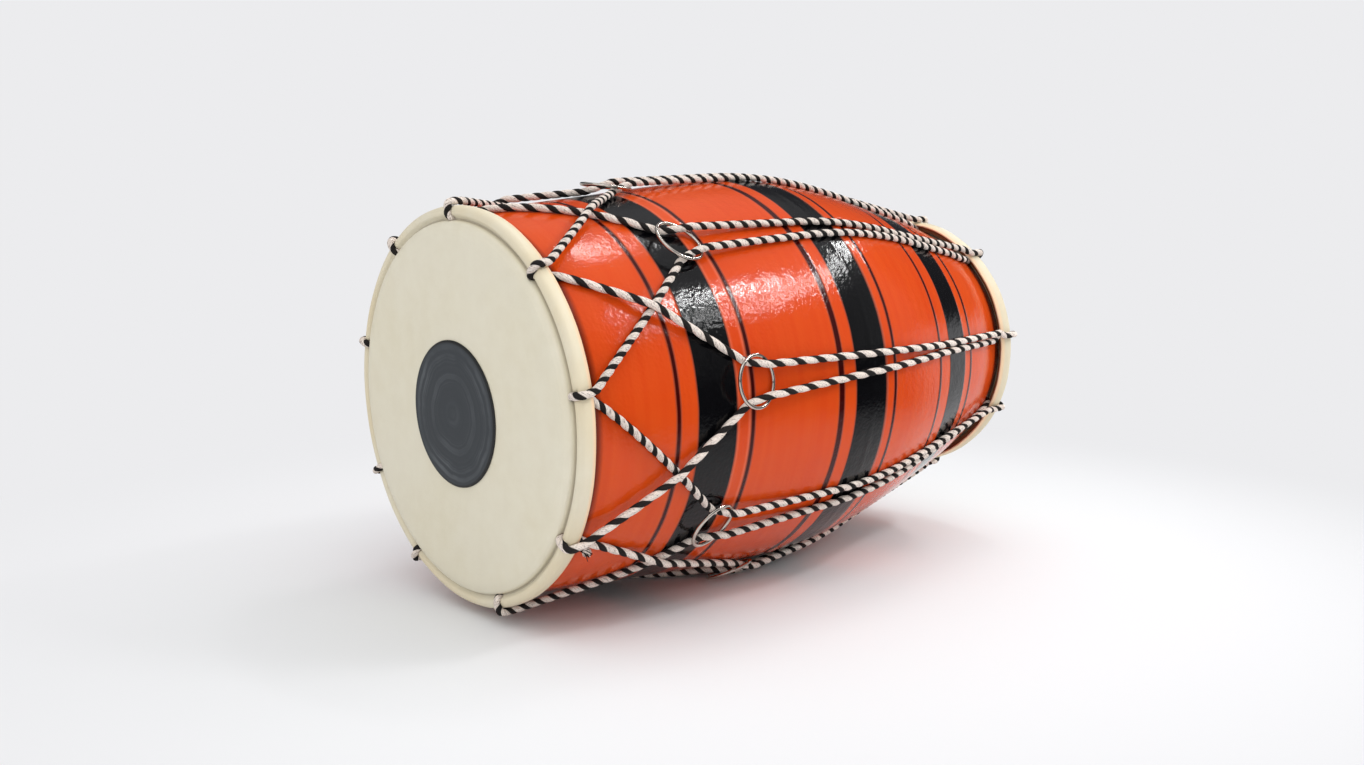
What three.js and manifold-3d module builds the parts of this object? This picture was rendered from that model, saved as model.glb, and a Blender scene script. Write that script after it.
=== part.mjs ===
// Dholak: a two-headed barrel drum. A turned wooden shell, a goatskin head on each end wrapped
// over a hoop, a tuning patch on the larger head, and one rope laced from hoop to hoop through
// nine sliding steel rings. The drum lies on its belly, larger head towards -X.
import * as THREE from 'three';
import { mergeVertices } from 'three/addons/utils/BufferGeometryUtils.js';
import Module from 'manifold-3d';

const wasm = await Module();
wasm.setup();

// Driving sizes in millimetres. Stations are measured along the drum's axis, inwards from a head's face.
const drumLength = 470;
const bellyRadius = 143.9;
const wallThickness = 10;
const mouthLand = 4;
const clearance = 0.3;
const sides = 44;

const skinThickness = 1.2;
const edgeRound = 6;
const valleyStation = 5.6;
const lipStation = 2.4;
const frontHead = { hoopRise: 8.8, hoopBack: 13.6 };
const rearHead = { hoopRise: 9.7, hoopBack: 16.7 };
const rawEdgeDrop = 1.3;
const hoopHeight = 4.7;
const hoopDepth = 7.8;
const hoopSlack = 0.3;

const patch = { radius: 48.4, thickness: 1.1, chamfer: 1.2, offset: 4.1, bearingDegrees: -49, sides: 36 };

const ropeDiameter = 5.2;
const ropeRadius = ropeDiameter / 2;
const ropeSides = 5;
const ropeSeat = 0.5;
const ropeHole = 0.35;
const ropeTail = { reach: 9, root: 1.7, tip: 1.1, station: 22, sides: 6 };
const noseStation = 1.8;
const turnStation = 5;
const pairSpacing = 5.9;
const pairMeetsStation = 128;

const ring = { radius: 16.9, wire: 2.4, arcSteps: 16, wireSides: 5, play: 0.6 };

// Where the rope goes round: degrees about the axis, 90 at the top, for each of the nine loops
const frontLoopDegrees = [170.2, 133.7, 89.5, 54, 15.7, -26.1, -58.4, -105.8, -147.4];
const rearLoopDegrees = [173, 132.5, 98, 56, 16, -26, -60, -105.5, -153];
const ringDegrees = [173.4, 131.5, 93.5, 54.5, 16.5, -26, -59, -111, -146];
const ringStationShares = [0.285, 0.2425, 0.2595, 0.268, 0.253, 0.2725, 0.2575, 0.4043, 0.247];
const ringStations = ringStationShares.map((share) => share * drumLength);
const crossingRank = [0, 2, 0, 2, 0, 2, 0, 1, 2];
const loops = frontLoopDegrees.length;
const restTiltDegrees = 1.8;

// The barrel's outside: [share of the length, share of the belly's radius]
const barrelShares = [
  [0.0119, 0.8402], [0.0277, 0.8464], [0.0426, 0.8659], [0.0638, 0.8812], [0.1064, 0.8985],
  [0.1660, 0.9166], [0.2255, 0.9333], [0.2872, 0.9520], [0.3617, 0.9750], [0.4362, 0.9924],
  [0.5, 1], [0.5638, 0.9910], [0.6383, 0.9583], [0.7234, 0.9006], [0.8170, 0.8235],
  [0.8936, 0.7589], [0.9645, 0.6824], [0.9881, 0.6560],
];
const boreSteps = 5;

// Outline shares: [share of the depth, share of the rise]
const rimShares = [[0, 0], [0.3, 0.76]];
const lipShares = [[0.75, 0.16], [0.06, 0.42], [0.1, 0.76]];
const crownShares = [[0.23, 0.1], [0.7, 0], [1, 1]];
const coreShares = [[0, 0.3], [0.3, 0], [1, 0], [1, 0.75], [0.8, 1], [0.2, 1], [0, 0.75]];
const turnShares = [0, 0.5, 1];
const strandShares = { frontEntry: 0.89, frontGate: 0.74, rearGate: 0.63, rearExit: 0.57 };

const finishes = {
  lacquer: new THREE.MeshStandardMaterial({ color: 0xd9481c, roughness: 0.25, metalness: 0 }),
  skin: new THREE.MeshStandardMaterial({ color: 0xdcd6c0, roughness: 0.6, metalness: 0 }),
  cane: new THREE.MeshStandardMaterial({ color: 0xb08a55, roughness: 0.7, metalness: 0 }),
  paste: new THREE.MeshStandardMaterial({ color: 0x3a3f44, roughness: 0.8, metalness: 0 }),
  rope: new THREE.MeshStandardMaterial({ color: 0xe8d9d0, roughness: 0.85, metalness: 0 }),
  steel: new THREE.MeshStandardMaterial({ color: 0xc9c9c6, roughness: 0.3, metalness: 1 }),
};

const radians = THREE.MathUtils.degToRad;

// Radius of the shell's outside at a distance x along the axis from the front face
function shellRadius(x) {
  const share = x / drumLength;
  const last = barrelShares.length - 1;
  const found = barrelShares.findIndex(([station]) => station > share);
  const index = found < 0 ? last : Math.max(found, 1);
  const [beforeStation, beforeRadius] = barrelShares[index - 1];
  const [afterStation, afterRadius] = barrelShares[index];
  const part = THREE.MathUtils.clamp((share - beforeStation) / (afterStation - beforeStation), 0, 1);
  return bellyRadius * THREE.MathUtils.lerp(beforeRadius, afterRadius, part);
}

function onAxis(x, radius, degrees) {
  const angle = radians(degrees);
  return new THREE.Vector3(x, radius * Math.cos(angle), radius * Math.sin(angle));
}

// A point that stands lift above the shell, side millimetres round it from the given bearing
function onShell(x, degrees, side, lift) {
  const radius = shellRadius(x) + lift;
  return onAxis(x, radius, degrees + THREE.MathUtils.radToDeg(side / radius));
}

// A solid of revolution about X from a closed outline of [x, radius] points
function turned(outline, turnedSides) {
  let area = 0;
  outline.forEach(([x, r], i) => {
    const [nextX, nextR] = outline[(i + 1) % outline.length];
    area += x * nextR - nextX * r;
  });
  const ordered = area > 0 ? [...outline].reverse() : [...outline];
  const start = ordered.findIndex(([, r], i) => r === 0 && ordered[(i + 1) % ordered.length][1] !== 0);
  const points = start < 0
    ? [...ordered, ordered[0]]
    : ordered.map((_, i) => ordered[(i + start) % ordered.length]);
  const profile = points.map(([x, r]) => new THREE.Vector2(r, x));
  return new THREE.LatheGeometry(profile, turnedSides).rotateZ(-Math.PI / 2);
}

// A route whose sections stand exactly at its points
class Route extends THREE.Curve {
  constructor(points) {
    super();
    this.points = points;
  }

  getPoint(t) {
    const place = t * (this.points.length - 1);
    const index = Math.min(Math.round(place), this.points.length - 1);
    return this.points[index].clone();
  }

  getPointAt(t) {
    return this.getPoint(t);
  }

  getTangentAt(t) {
    const last = this.points.length - 1;
    const index = Math.round(t * last);
    const before = this.points[Math.max(index - 1, 0)];
    const after = this.points[Math.min(index + 1, last)];
    return after.clone().sub(before).normalize();
  }
}

function polygon(radius, cornerCount) {
  const corners = [];
  for (let i = 0; i < cornerCount; i += 1) {
    const angle = (2 * Math.PI * i) / cornerCount;
    corners.push(new THREE.Vector2(radius * Math.cos(angle), radius * Math.sin(angle)));
  }
  return new THREE.Shape(corners);
}

function cord(points, radius) {
  return new THREE.ExtrudeGeometry(polygon(radius, ropeSides), {
    steps: points.length - 1,
    extrudePath: new Route(points),
  });
}

// A closed mesh with shared corners, without slivers at the axis, as a solid that can be cut
function solid(geometry) {
  const bare = geometry.clone();
  bare.deleteAttribute('normal');
  bare.deleteAttribute('uv');
  const merged = mergeVertices(bare);
  const corners = merged.index.array;
  const faces = [];
  for (let i = 0; i < corners.length; i += 3) {
    const [a, b, c] = [corners[i], corners[i + 1], corners[i + 2]];
    if (a !== b && b !== c && c !== a) faces.push(a, b, c);
  }
  return new wasm.Manifold(new wasm.Mesh({
    numProp: 3,
    vertProperties: new Float32Array(merged.attributes.position.array),
    triVerts: new Uint32Array(faces),
  }));
}

function geometryOf(cut) {
  const mesh = cut.getMesh();
  const geometry = new THREE.BufferGeometry();
  geometry.setAttribute('position', new THREE.BufferAttribute(mesh.vertProperties, 3));
  geometry.setIndex(new THREE.BufferAttribute(mesh.triVerts, 1));
  geometry.computeVertexNormals();
  return geometry;
}

function cutAway(geometry, cutters) {
  return geometryOf(cutters.reduce((body, cutter) => body.subtract(solid(cutter)), solid(geometry)));
}

// The skin's outer line from the axis over the rim, down into the groove, out and over the hoop
function skinLine(head) {
  const { rimRadius, hoopRadius, hoopBack } = head;
  const line = [[0, 0]];
  rimShares.forEach(([depth, out]) => line.push([
    depth * edgeRound,
    rimRadius - edgeRound + out * edgeRound,
  ]));
  line.push([valleyStation, rimRadius]);
  lipShares.forEach(([depth, out]) => line.push([
    lipStation + depth * (valleyStation - lipStation),
    rimRadius + out * head.hoopRise,
  ]));
  crownShares.forEach(([depth, drop]) => line.push([
    lipStation + depth * (hoopBack - lipStation),
    hoopRadius - drop * rawEdgeDrop,
  ]));
  return line;
}

// The same line moved inwards by a distance
function movedIn(line, distance) {
  return line.map(([x, r], i) => {
    if (i === 0) return [x + distance, 0];
    const before = line[i - 1];
    const after = line[Math.min(i + 1, line.length - 1)];
    const first = new THREE.Vector2(x - before[0], r - before[1]).normalize();
    const second = i === line.length - 1 ? first.clone()
      : new THREE.Vector2(after[0] - x, after[1] - r).normalize();
    const miter = new THREE.Vector2(first.y + second.y, -first.x - second.x).normalize();
    const stretch = 1 / Math.max(miter.dot(new THREE.Vector2(first.y, -first.x)), 0.5);
    return [x + miter.x * distance * stretch, r + miter.y * distance * stretch];
  });
}

const placeOf = { front: (x) => x, rear: (x) => drumLength - x };
Object.entries({ front: frontHead, rear: rearHead }).forEach(([end, head]) => {
  head.rimRadius = shellRadius(placeOf[end](valleyStation)) + skinThickness + clearance;
  head.hoopRadius = head.rimRadius + head.hoopRise;
});

function skinOutline(head, place) {
  const line = skinLine(head);
  return [...line, ...movedIn(line, skinThickness).reverse()].map(([x, r]) => [place(x), r]);
}

// The wooden shell: a barrel with rounded mouths, and a hollow that follows its outside
function shellOutline() {
  const mouth = (end, head) => movedIn(skinLine(head), skinThickness + clearance)
    .slice(1, rimShares.length + 1).map(([x, r]) => [placeOf[end](x), r]);
  const frontMouth = mouth('front', frontHead);
  const rearMouth = mouth('rear', rearHead);
  const outside = barrelShares.map(([station, radius]) => [station * drumLength, radius * bellyRadius]);
  const boreStart = frontHead.hoopBack;
  const boreEnd = drumLength - rearHead.hoopBack;
  const bore = [];
  for (let i = boreSteps; i >= 0; i -= 1) {
    const x = boreStart + (i / boreSteps) * (boreEnd - boreStart);
    bore.push([x, shellRadius(x) - wallThickness]);
  }
  const land = ([[x, r]]) => [x, r - mouthLand];
  return [...frontMouth, ...outside, ...rearMouth.reverse(), land([rearMouth[rearMouth.length - 1]]),
    ...bore, land(frontMouth)];
}

// The hoop inside the wrapped skin
function hoopOutline(head, place) {
  const top = head.hoopRadius - skinThickness - clearance - hoopSlack;
  const front = lipStation + skinThickness + clearance + ropeHole + hoopSlack;
  return coreShares.map(([depth, out]) => [
    place(front + depth * hoopDepth),
    top - hoopHeight + out * hoopHeight,
  ]);
}

// Heights of a rope's middle line over the wood: lying on it, and lying on another length of rope
const ropeLift = ropeSeat + ropeRadius;
const ropeStep = ropeDiameter + clearance;

// How the rope turns round a hoop: up over it, into the groove, and back under it along the wood
function hoopTurn(head, place, degrees) {
  const top = head.hoopRadius + ropeLift;
  const low = shellRadius(place(turnStation)) + ropeLift;
  const bend = turnStation - noseStation;
  const quarter = (radius, way) => turnShares.map((share) => {
    const angle = share * Math.PI / 2;
    const station = place(turnStation - bend * Math.sin(angle));
    return onAxis(station, radius - way * bend * (1 - Math.cos(angle)), degrees);
  });
  return [...quarter(top, 1), ...quarter(low, -1).reverse()];
}

// Tilt and height of a ring: its rear arc lies on the wood and its front arc clears the rope below it
const ringSeat = (() => {
  const entrySide = strandShares.frontEntry * ring.radius;
  const exitSide = strandShares.rearExit * ring.radius;
  const entryReach = Math.sqrt(ring.radius ** 2 - entrySide ** 2);
  const exitReach = Math.sqrt(ring.radius ** 2 - exitSide ** 2);
  const sag = (side) => side ** 2 / (2 * bellyRadius);
  const wireRadius = ring.wire / 2;
  const slope = (ropeLift - sag(entrySide) + ropeRadius + ring.play) / (entryReach + ring.radius);
  const height = wireRadius + clearance + ring.radius * slope;
  const exitLift = height - exitReach * slope + wireRadius + ropeRadius + ring.play + sag(exitSide);
  return { entrySide, exitSide, entryReach, exitReach, slope, height, exitLift };
})();

// The two places of a strand inside a ring, as [reach behind its middle, side, lift]
function ringGates(direction) {
  const { entryReach, exitReach, exitLift } = ringSeat;
  return [[-entryReach / 3, strandShares.frontGate], [exitReach / 2, strandShares.rearGate]]
    .map(([reach, share]) => {
      const climb = (reach + entryReach) / (exitReach + entryReach);
      return [reach, direction * share * ring.radius, THREE.MathUtils.lerp(ropeLift, exitLift, climb)];
    });
}

// The middle of a strand inside ring k, the gate before it and the one after it, and its direction
function ringJoin(k, direction) {
  const [gateIn, gateOut] = ringGates(direction)
    .map(([reach, side, lift]) => onShell(ringStations[k] + reach, ringDegrees[k], side, lift));
  const along = gateOut.clone().sub(gateIn).normalize();
  const middle = gateIn.clone().add(gateOut).multiplyScalar(0.5);
  return { gateIn, gateOut, middle, along };
}

const next = (k, step) => (k + step + loops) % loops;

// Degrees from one bearing to another the short way round
function swing(from, to) {
  return ((((to - from) % 360) + 540) % 360) - 180;
}

// A front strand's bearing at x, on its straight way from loop k to the ring step places on
function frontStrand(k, step) {
  const target = next(k, step);
  const start = frontHead.hoopBack - turnStation / 2;
  const end = ringStations[target] - ringSeat.entryReach;
  const side = -step * ringSeat.entrySide;
  const sideDegrees = THREE.MathUtils.radToDeg(side / (shellRadius(end) + ropeLift));
  const turn = swing(frontLoopDegrees[k], ringDegrees[target]) - sideDegrees;
  return {
    target,
    end,
    start,
    rate: turn / (end - start),
    bearing: (x) => frontLoopDegrees[k] + turn * ((x - start) / (end - start)),
  };
}

// Where strand k to step crosses the strand that comes the other way from loop k + step
function crossing(k, step) {
  const one = frontStrand(k, step);
  const other = frontStrand(next(k, step), -step);
  const apart = swing(frontLoopDegrees[k], frontLoopDegrees[next(k, step)]);
  return one.start + apart / (one.rate - other.rate);
}

// A strand pulled taut: each point rises to its neighbours' chord, over and over, until none has to
function tauten(route) {
  const radii = route.map(({ x, lift }) => shellRadius(x) + lift);
  let rising = true;
  while (rising) {
    rising = false;
    for (let i = 1; i < route.length - 1; i += 1) {
      const before = onAxis(route[i - 1].x, radii[i - 1], route[i - 1].degrees);
      const after = onAxis(route[i + 1].x, radii[i + 1], route[i + 1].degrees);
      const chord = before.lerp(after, (route[i].x - before.x) / (after.x - before.x));
      const radius = Math.hypot(chord.y, chord.z);
      if (radius > radii[i]) {
        radii[i] = radius;
        rising = true;
      }
    }
  }
  return route.map(({ x, degrees }, i) => onAxis(x, radii[i], degrees));
}

// Lift of a strand where it leaves the back of its hoop
function hoopLift(head, place, over) {
  return ropeLift + (over ? head.hoopRadius - shellRadius(place(head.hoopBack)) : 0);
}

// Points of a front strand from behind the hoop to its ring; over says that it leaves over the hoop
function frontStrandPoints(k, step, over) {
  const strand = frontStrand(k, step);
  const cross = crossing(k, step);
  const onTop = crossingRank[k] > crossingRank[next(k, step)];
  const { hoopBack } = frontHead;
  const clear = hoopBack + 3 * ropeRadius;
  const stations = [
    hoopBack,
    clear,
    ...[1, 2].map((i) => clear + (i / 3) * (cross - clear)),
    cross,
    ...[1, 2, 3, 4].map((i) => cross + (i / 4) * (strand.end - cross)),
  ];
  return tauten(stations.map((x) => {
    const woodLift = x === cross && onTop ? ropeLift + ropeStep : ropeLift;
    const lift = x > hoopBack ? woodLift : hoopLift(frontHead, placeOf.front, over);
    return { x, degrees: strand.bearing(x), lift };
  }));
}

// Front length of rope: from ring k + 1 over hoop loop k and back under it to ring k - 1
function frontLace(k) {
  const over = frontStrandPoints(k, 1, true);
  const under = frontStrandPoints(k, -1, false);
  const end = (direction) => {
    const join = ringJoin(next(k, direction), direction);
    return [join.gateIn, join.middle.clone().addScaledVector(join.along, -clearance / 2)];
  };
  return [
    ...end(1).reverse(),
    ...over.reverse(),
    ...hoopTurn(frontHead, placeOf.front, frontLoopDegrees[k]),
    ...under,
    ...end(-1),
  ];
}

// Points of a rear strand from its ring to the rear hoop
function rearStrandPoints(k, direction, over) {
  const exit = ringStations[k] + ringSeat.exitReach;
  const hoopEdge = drumLength - rearHead.hoopBack;
  const meets = drumLength - pairMeetsStation;
  const closing = 4 * ropeRadius;
  const halfPair = pairSpacing / 2;
  const stations = [
    exit,
    exit + ring.wire,
    ...barrelShares.map(([station]) => station * drumLength)
      .filter((x) => x > exit + 2 * ring.wire && x < hoopEdge - closing - ropeDiameter),
    hoopEdge - closing,
    hoopEdge - closing / 2,
    hoopEdge,
  ];
  return tauten(stations.map((x) => {
    const along = (x - exit) / (hoopEdge - exit);
    const spread = Math.max((meets - x) / (meets - exit), 0);
    const pinch = Math.min((hoopEdge - x) / closing, 1);
    const side = direction * (halfPair + spread * (ringSeat.exitSide - halfPair)) * pinch;
    const centre = ringDegrees[k] + swing(ringDegrees[k], rearLoopDegrees[k]) * along;
    const degrees = centre + THREE.MathUtils.radToDeg(side / (shellRadius(x) + ropeLift));
    const lift = x <= exit + ring.wire ? ringSeat.exitLift : ropeLift;
    return { x, degrees, lift: x < hoopEdge ? lift : hoopLift(rearHead, placeOf.rear, over) };
  }));
}

// Rear length of rope: from ring k over the rear hoop's loop k and back under it to the same ring
function rearLace(k) {
  const over = rearStrandPoints(k, -1, true);
  const under = rearStrandPoints(k, 1, false);
  const start = (direction) => {
    const join = ringJoin(k, direction);
    return [join.middle.clone().addScaledVector(join.along, clearance / 2), join.gateOut];
  };
  return [
    ...start(-1),
    ...over,
    ...hoopTurn(rearHead, placeOf.rear, rearLoopDegrees[k]),
    ...under.reverse(),
    ...start(1).reverse(),
  ];
}

function ringMesh(k) {
  const geometry = new THREE.TorusGeometry(ring.radius, ring.wire / 2, ring.wireSides, ring.arcSteps);
  const x = ringStations[k];
  const centre = onShell(x, ringDegrees[k], 0, ringSeat.height);
  const ahead = onShell(x + ring.radius, ringDegrees[k], 0, 0);
  const behind = onShell(x - ring.radius, ringDegrees[k], 0, 0);
  const along = ahead.sub(behind).normalize();
  const out = onAxis(0, 1, ringDegrees[k]);
  const across = new THREE.Vector3().crossVectors(out, along).normalize();
  const up = new THREE.Vector3().crossVectors(along, across);
  const mesh = new THREE.Mesh(geometry, finishes.steel);
  mesh.quaternion.setFromRotationMatrix(new THREE.Matrix4().makeBasis(along, across, up));
  mesh.rotateY(Math.atan(ringSeat.slope));
  mesh.position.copy(centre);
  return mesh;
}

// The tuning patch: a thin cake of black paste, a little off the middle of the larger head
function patchMesh() {
  const outer = -clearance - patch.thickness;
  const geometry = turned([
    [-clearance, 0],
    [-clearance, patch.radius],
    [outer, patch.radius - patch.chamfer],
    [outer, 0],
  ], patch.sides);
  const mesh = new THREE.Mesh(geometry, finishes.paste);
  mesh.position.copy(onAxis(0, patch.offset, patch.bearingDegrees));
  return mesh;
}

// The rope's short loose end, lying on the wood beside the last loop's lower strand
function tailMesh() {
  const k = loops - 1;
  const strand = frontStrand(k, -1);
  const side = (ropeRadius + ropeTail.root + 2 * ropeSeat) * Math.SQRT2;
  const spot = (x) => onShell(x, strand.bearing(x), side, ropeSeat + ropeTail.root);
  const root = spot(ropeTail.station);
  const along = spot(ropeTail.station + ropeTail.reach).sub(root).normalize();
  const geometry = new THREE.CylinderGeometry(ropeTail.tip, ropeTail.root, ropeTail.reach, ropeTail.sides)
    .translate(0, ropeTail.reach / 2, 0);
  const mesh = new THREE.Mesh(geometry, finishes.rope);
  mesh.quaternion.setFromUnitVectors(new THREE.Vector3(0, 1, 0), along);
  mesh.position.copy(root);
  return mesh;
}

const drum = new THREE.Group();

function add(name, mesh) {
  mesh.name = name;
  drum.add(mesh);
}

const indices = frontLoopDegrees.map((_, k) => k);
const frontLaces = indices.map(frontLace);
const rearLaces = indices.map(rearLace);
const cutters = (laces) => laces.map((points) => cord(points, ropeRadius + ropeHole));

add('wooden_shell', new THREE.Mesh(turned(shellOutline(), sides), finishes.lacquer));
[['front', frontHead, frontLaces], ['rear', rearHead, rearLaces]].forEach(([end, head, laces]) => {
  const place = placeOf[end];
  const skin = cutAway(turned(skinOutline(head, place), sides), cutters(laces));
  const hoop = cutAway(turned(hoopOutline(head, place), sides), cutters(laces));
  add(`${end}_head_skin`, new THREE.Mesh(skin, finishes.skin));
  add(`${end}_hoop`, new THREE.Mesh(hoop, finishes.cane));
});
add('tuning_patch', patchMesh());
indices.forEach((k) => {
  add(`tuning_ring_${k + 1}`, ringMesh(k));
  add(`front_lace_${k + 1}`, new THREE.Mesh(cord(frontLaces[k], ropeRadius), finishes.rope));
  add(`rear_lace_${k + 1}`, new THREE.Mesh(cord(rearLaces[k], ropeRadius), finishes.rope));
});
add('rope_tail', tailMesh());

// Lay the drum on its belly and put the middle of its footprint at the origin
drum.rotation.y = -radians(restTiltDegrees);
const group = new THREE.Group();
group.add(drum);
const box = new THREE.Box3().setFromObject(group, true);
const centre = box.getCenter(new THREE.Vector3());
drum.position.set(-centre.x, -centre.y, -box.min.z);

export default group;
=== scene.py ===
"""Dholak: a lacquered barrel, two laced skin heads and nine sliding rings, dressed over its solids."""

import math

import bmesh
import bpy
import numpy as np
from mathutils import Matrix, Vector


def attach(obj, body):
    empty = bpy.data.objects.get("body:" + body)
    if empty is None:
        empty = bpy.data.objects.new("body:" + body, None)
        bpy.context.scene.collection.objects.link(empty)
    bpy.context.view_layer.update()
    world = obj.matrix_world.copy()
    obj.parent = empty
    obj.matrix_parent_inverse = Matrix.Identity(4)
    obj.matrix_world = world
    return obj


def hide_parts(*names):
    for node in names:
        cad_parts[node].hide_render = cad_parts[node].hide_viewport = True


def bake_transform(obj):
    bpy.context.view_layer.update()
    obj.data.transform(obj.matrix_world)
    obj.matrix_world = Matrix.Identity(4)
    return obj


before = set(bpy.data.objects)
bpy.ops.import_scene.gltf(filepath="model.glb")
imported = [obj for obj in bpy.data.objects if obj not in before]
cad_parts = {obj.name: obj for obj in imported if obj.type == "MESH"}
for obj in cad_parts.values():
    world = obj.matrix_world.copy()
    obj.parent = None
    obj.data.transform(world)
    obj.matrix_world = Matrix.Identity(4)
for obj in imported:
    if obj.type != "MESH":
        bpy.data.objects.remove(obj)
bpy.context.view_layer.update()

bl_info = {
    "name": "Dholak",
    "version": (1, 0, 0),
    "blender": (4, 5, 0),
    "location": "3D View > Sidebar > Dholak",
    "description": "Builds a laced two-headed barrel drum around its solid parts",
    "category": "Add Mesh",
}

MM = 0.001

# How the drum lies: its own X runs along the axis from the larger head, turned down onto the belly
LIE_TILT = math.radians(-1.8)
LIE_PLACE = (-234.623 * MM, 2.1666 * MM, 139.1158 * MM)
LIE = Matrix.Translation(LIE_PLACE) @ Matrix.Rotation(LIE_TILT, 4, "Y")

# The barrel's outside: (share of the length, share of the belly's radius)
BARREL_SHARES = (
    (0.0119, 0.8402), (0.0277, 0.8464), (0.0426, 0.8659), (0.0638, 0.8812), (0.1064, 0.8985),
    (0.1660, 0.9166), (0.2255, 0.9333), (0.2872, 0.9520), (0.3617, 0.9750), (0.4362, 0.9924),
    (0.5, 1.0), (0.5638, 0.9910), (0.6383, 0.9583), (0.7234, 0.9006), (0.8170, 0.8235),
    (0.8936, 0.7589), (0.9645, 0.6824), (0.9881, 0.6560),
)
BARREL_STEPS, BORE_STEPS, BARREL_SIDES = 236, 40, 220
RIDGE_WIDTH = 1.6 * MM

# How the turned wood strays: where from and how far, and its waves as (count round, rate along, phase)
WAVER_START, WAVER_LENGTH = 30 * MM, 410 * MM
WAVES = ((3, 19, 0), (5, -31, 1.3))

# A head's outer line, in shares of its own sizes: over the rim, up to the hoop, and over the hoop
RIM_SHARES = ((0, 0), (0.3, 0.76))
LIP_SHARES = ((0.75, 0.16), (0.06, 0.42), (0.1, 0.76))
CROWN_SHARES = ((0.23, 0.1), (0.7, 0), (1, 1))
HEAD_SIDES, FACE_STEPS, INNER_FACE_STEPS = 264, 26, 10
OUTER_STEPS, INNER_STEPS = 5, 3

# A hoop's unevenness as (height in mm, count round, phase in degrees), and how each loop dents it
HOOP_WAVES = ((0.16, 7, 40), (0.1, 17, 10))
LOOP_DENT, LOOP_DENT_WIDTH = 0.28 * MM, 3.4 * MM

# The skin's last stretch that may be cut edge, and how near points of a cut mesh are before they are joined
CUT_EDGE_DEPTH = 1.6 * MM
WELD = 4e-6

# The tuning patch: its points, its edge as (below, inside) in mm, and its faint ripple
PATCH_SIDES, PATCH_STEPS, PATCH_EDGE_STEPS = 160, 60, 4
PATCH_FOOT_MM, PATCH_BEND_MM, PATCH_LIP_MM, PATCH_CROWN_MM = (0.35, 0.1), (0.12, 0.25), 0.6, 1.2
PATCH_RIPPLE, RIPPLE_RATE = 0.02 * MM, 9000

# Bearings of the loops and rings about the axis, 90 at the top, and the rings' stations
FRONT_LOOP_DEGREES = (170.2, 133.7, 89.5, 54, 15.7, -26.1, -58.4, -105.8, -147.4)
REAR_LOOP_DEGREES = (173, 132.5, 98, 56, 16, -26, -60, -105.5, -153)
RING_DEGREES = (173.4, 131.5, 93.5, 54.5, 16.5, -26, -59, -111, -146)
RING_STATION_SHARES = (0.285, 0.2425, 0.2595, 0.268, 0.253, 0.2725, 0.2575, 0.4043, 0.247)
CROSSING_RANK = (0, 2, 0, 2, 0, 2, 0, 1, 2)
LOOPS = len(FRONT_LOOP_DEGREES)

# Where a strand lies inside a ring, as shares of the ring's radius
FRONT_ENTRY_SHARE = 0.89
FRONT_GATE_SHARE = 0.74
REAR_GATE_SHARE = 0.63
REAR_EXIT_SHARE = 0.57

# The plain solid rope's radius, the points along a strand, and where a rear pair closes at its hoop
SOLID_ROPE = 2.6 * MM
FRONT_STEPS, REAR_STEPS, CLOSING_STEPS = 46, 64, 6
CLOSING = 10.4 * MM

# Where a strand starts to follow its ring: behind its crossing, or this far from the rear hoop
FRONT_HOLD, REAR_HOLD = 9 * MM, 14 * MM

# Length of rope in which the dark yarn goes round once, for each loop
OVER_LAY_MM = (10.7, 10, 10.5, 11, 11, 11, 11, 10, 18)
UNDER_LAY_MM = (11.5, 18, 15, 14, 14, 14, 14, 14, 18.5)
REAR_LAY_MM = (19.3, 12, 11, 13, 13, 13, 13, 13, 12.5)
ROUTE_STEPS = 3
GROOVE_SHARPNESS = 2.5

# The ring's points round its middle and round its wire, and each ring's own weld
RING_STEPS, WIRE_SIDES = 96, 18
WELD_BEARING, WELD_TURN, WELD_WIDTH = 35, 71, 0.07

# The frayed end: its yarns, their sides and points, and how far they may flare, sag, curl and swell
FRAYED_YARNS, YARN_SIDES, YARN_STEPS = 110, 5, 8
YARN_REACH, YARN_FLARE, YARN_SAG = (0.35, 0.8), (0.4, 2.4), 3.5
YARN_CURL, YARN_THICKNESS = (0.1, 0.5), (0.4, 0.7)

# Painted marks along the barrel, as (start, end) in mm from the larger head, and their pale edges
BAND_SPANS_MM = ((91.6, 122.5), (227.2, 260.7), (355.6, 384.0))
LINE_SPANS_MM = (
    (74.5, 78.3), (132.5, 136.4), (210.9, 215.1), (268.9, 272.2), (337.0, 340.2), (394.3, 397.3),
)
BAND_EDGE_MM, LINE_EDGE_MM = 0.5, 0.4
PAINT_SOFTNESS = 0.18 * MM
BRUSH_STRAY = 0.45 * MM

# Where a tone starts and ends, in mm: the painted shadow from a hoop's edge, the warmth and the painted
# groove shade over the rim, the groove shade inside a face, and the peach from the cut edge
FRONT_HOOP_SHADE_MM, REAR_HOOP_SHADE_MM = (5.6, 9), (0.2, 1.8)
HOOP_WARMTH_MM, GROOVE_SHADE_WIDTH_MM = (1, 4), (0.3, 1.4)
GROOVE_SHADE_DEPTH_MM, CUT_EDGE_MM = (3.4, 5), (1.6, 4)

# The paste's rubbed rings, and the cotton's fuzz, the seam between its yarns and its fine plies
RUBBING_WANDER, WORN_RADII = 4 * MM, (12 * MM, 28 * MM)
YARN_FUZZ, YARN_SEAM = 0.025, 0.012
PLIES, PLY_TURN = 9, 1900

# The room that gloss mirrors: the way to the sheet's front end and how near to it a mirrored ray goes dark,
# and how steeply a ray rises where the walls start and where they give way to the ceiling
SHEET_END, SHEET_END_NEAR = (0.545, -0.839, 0), (0.72, 0.9)
WALLS_START, CEILING_START, CEILING_SHARE = (0.06, 0.17), (0.5, 0.8), 0.65

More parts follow.
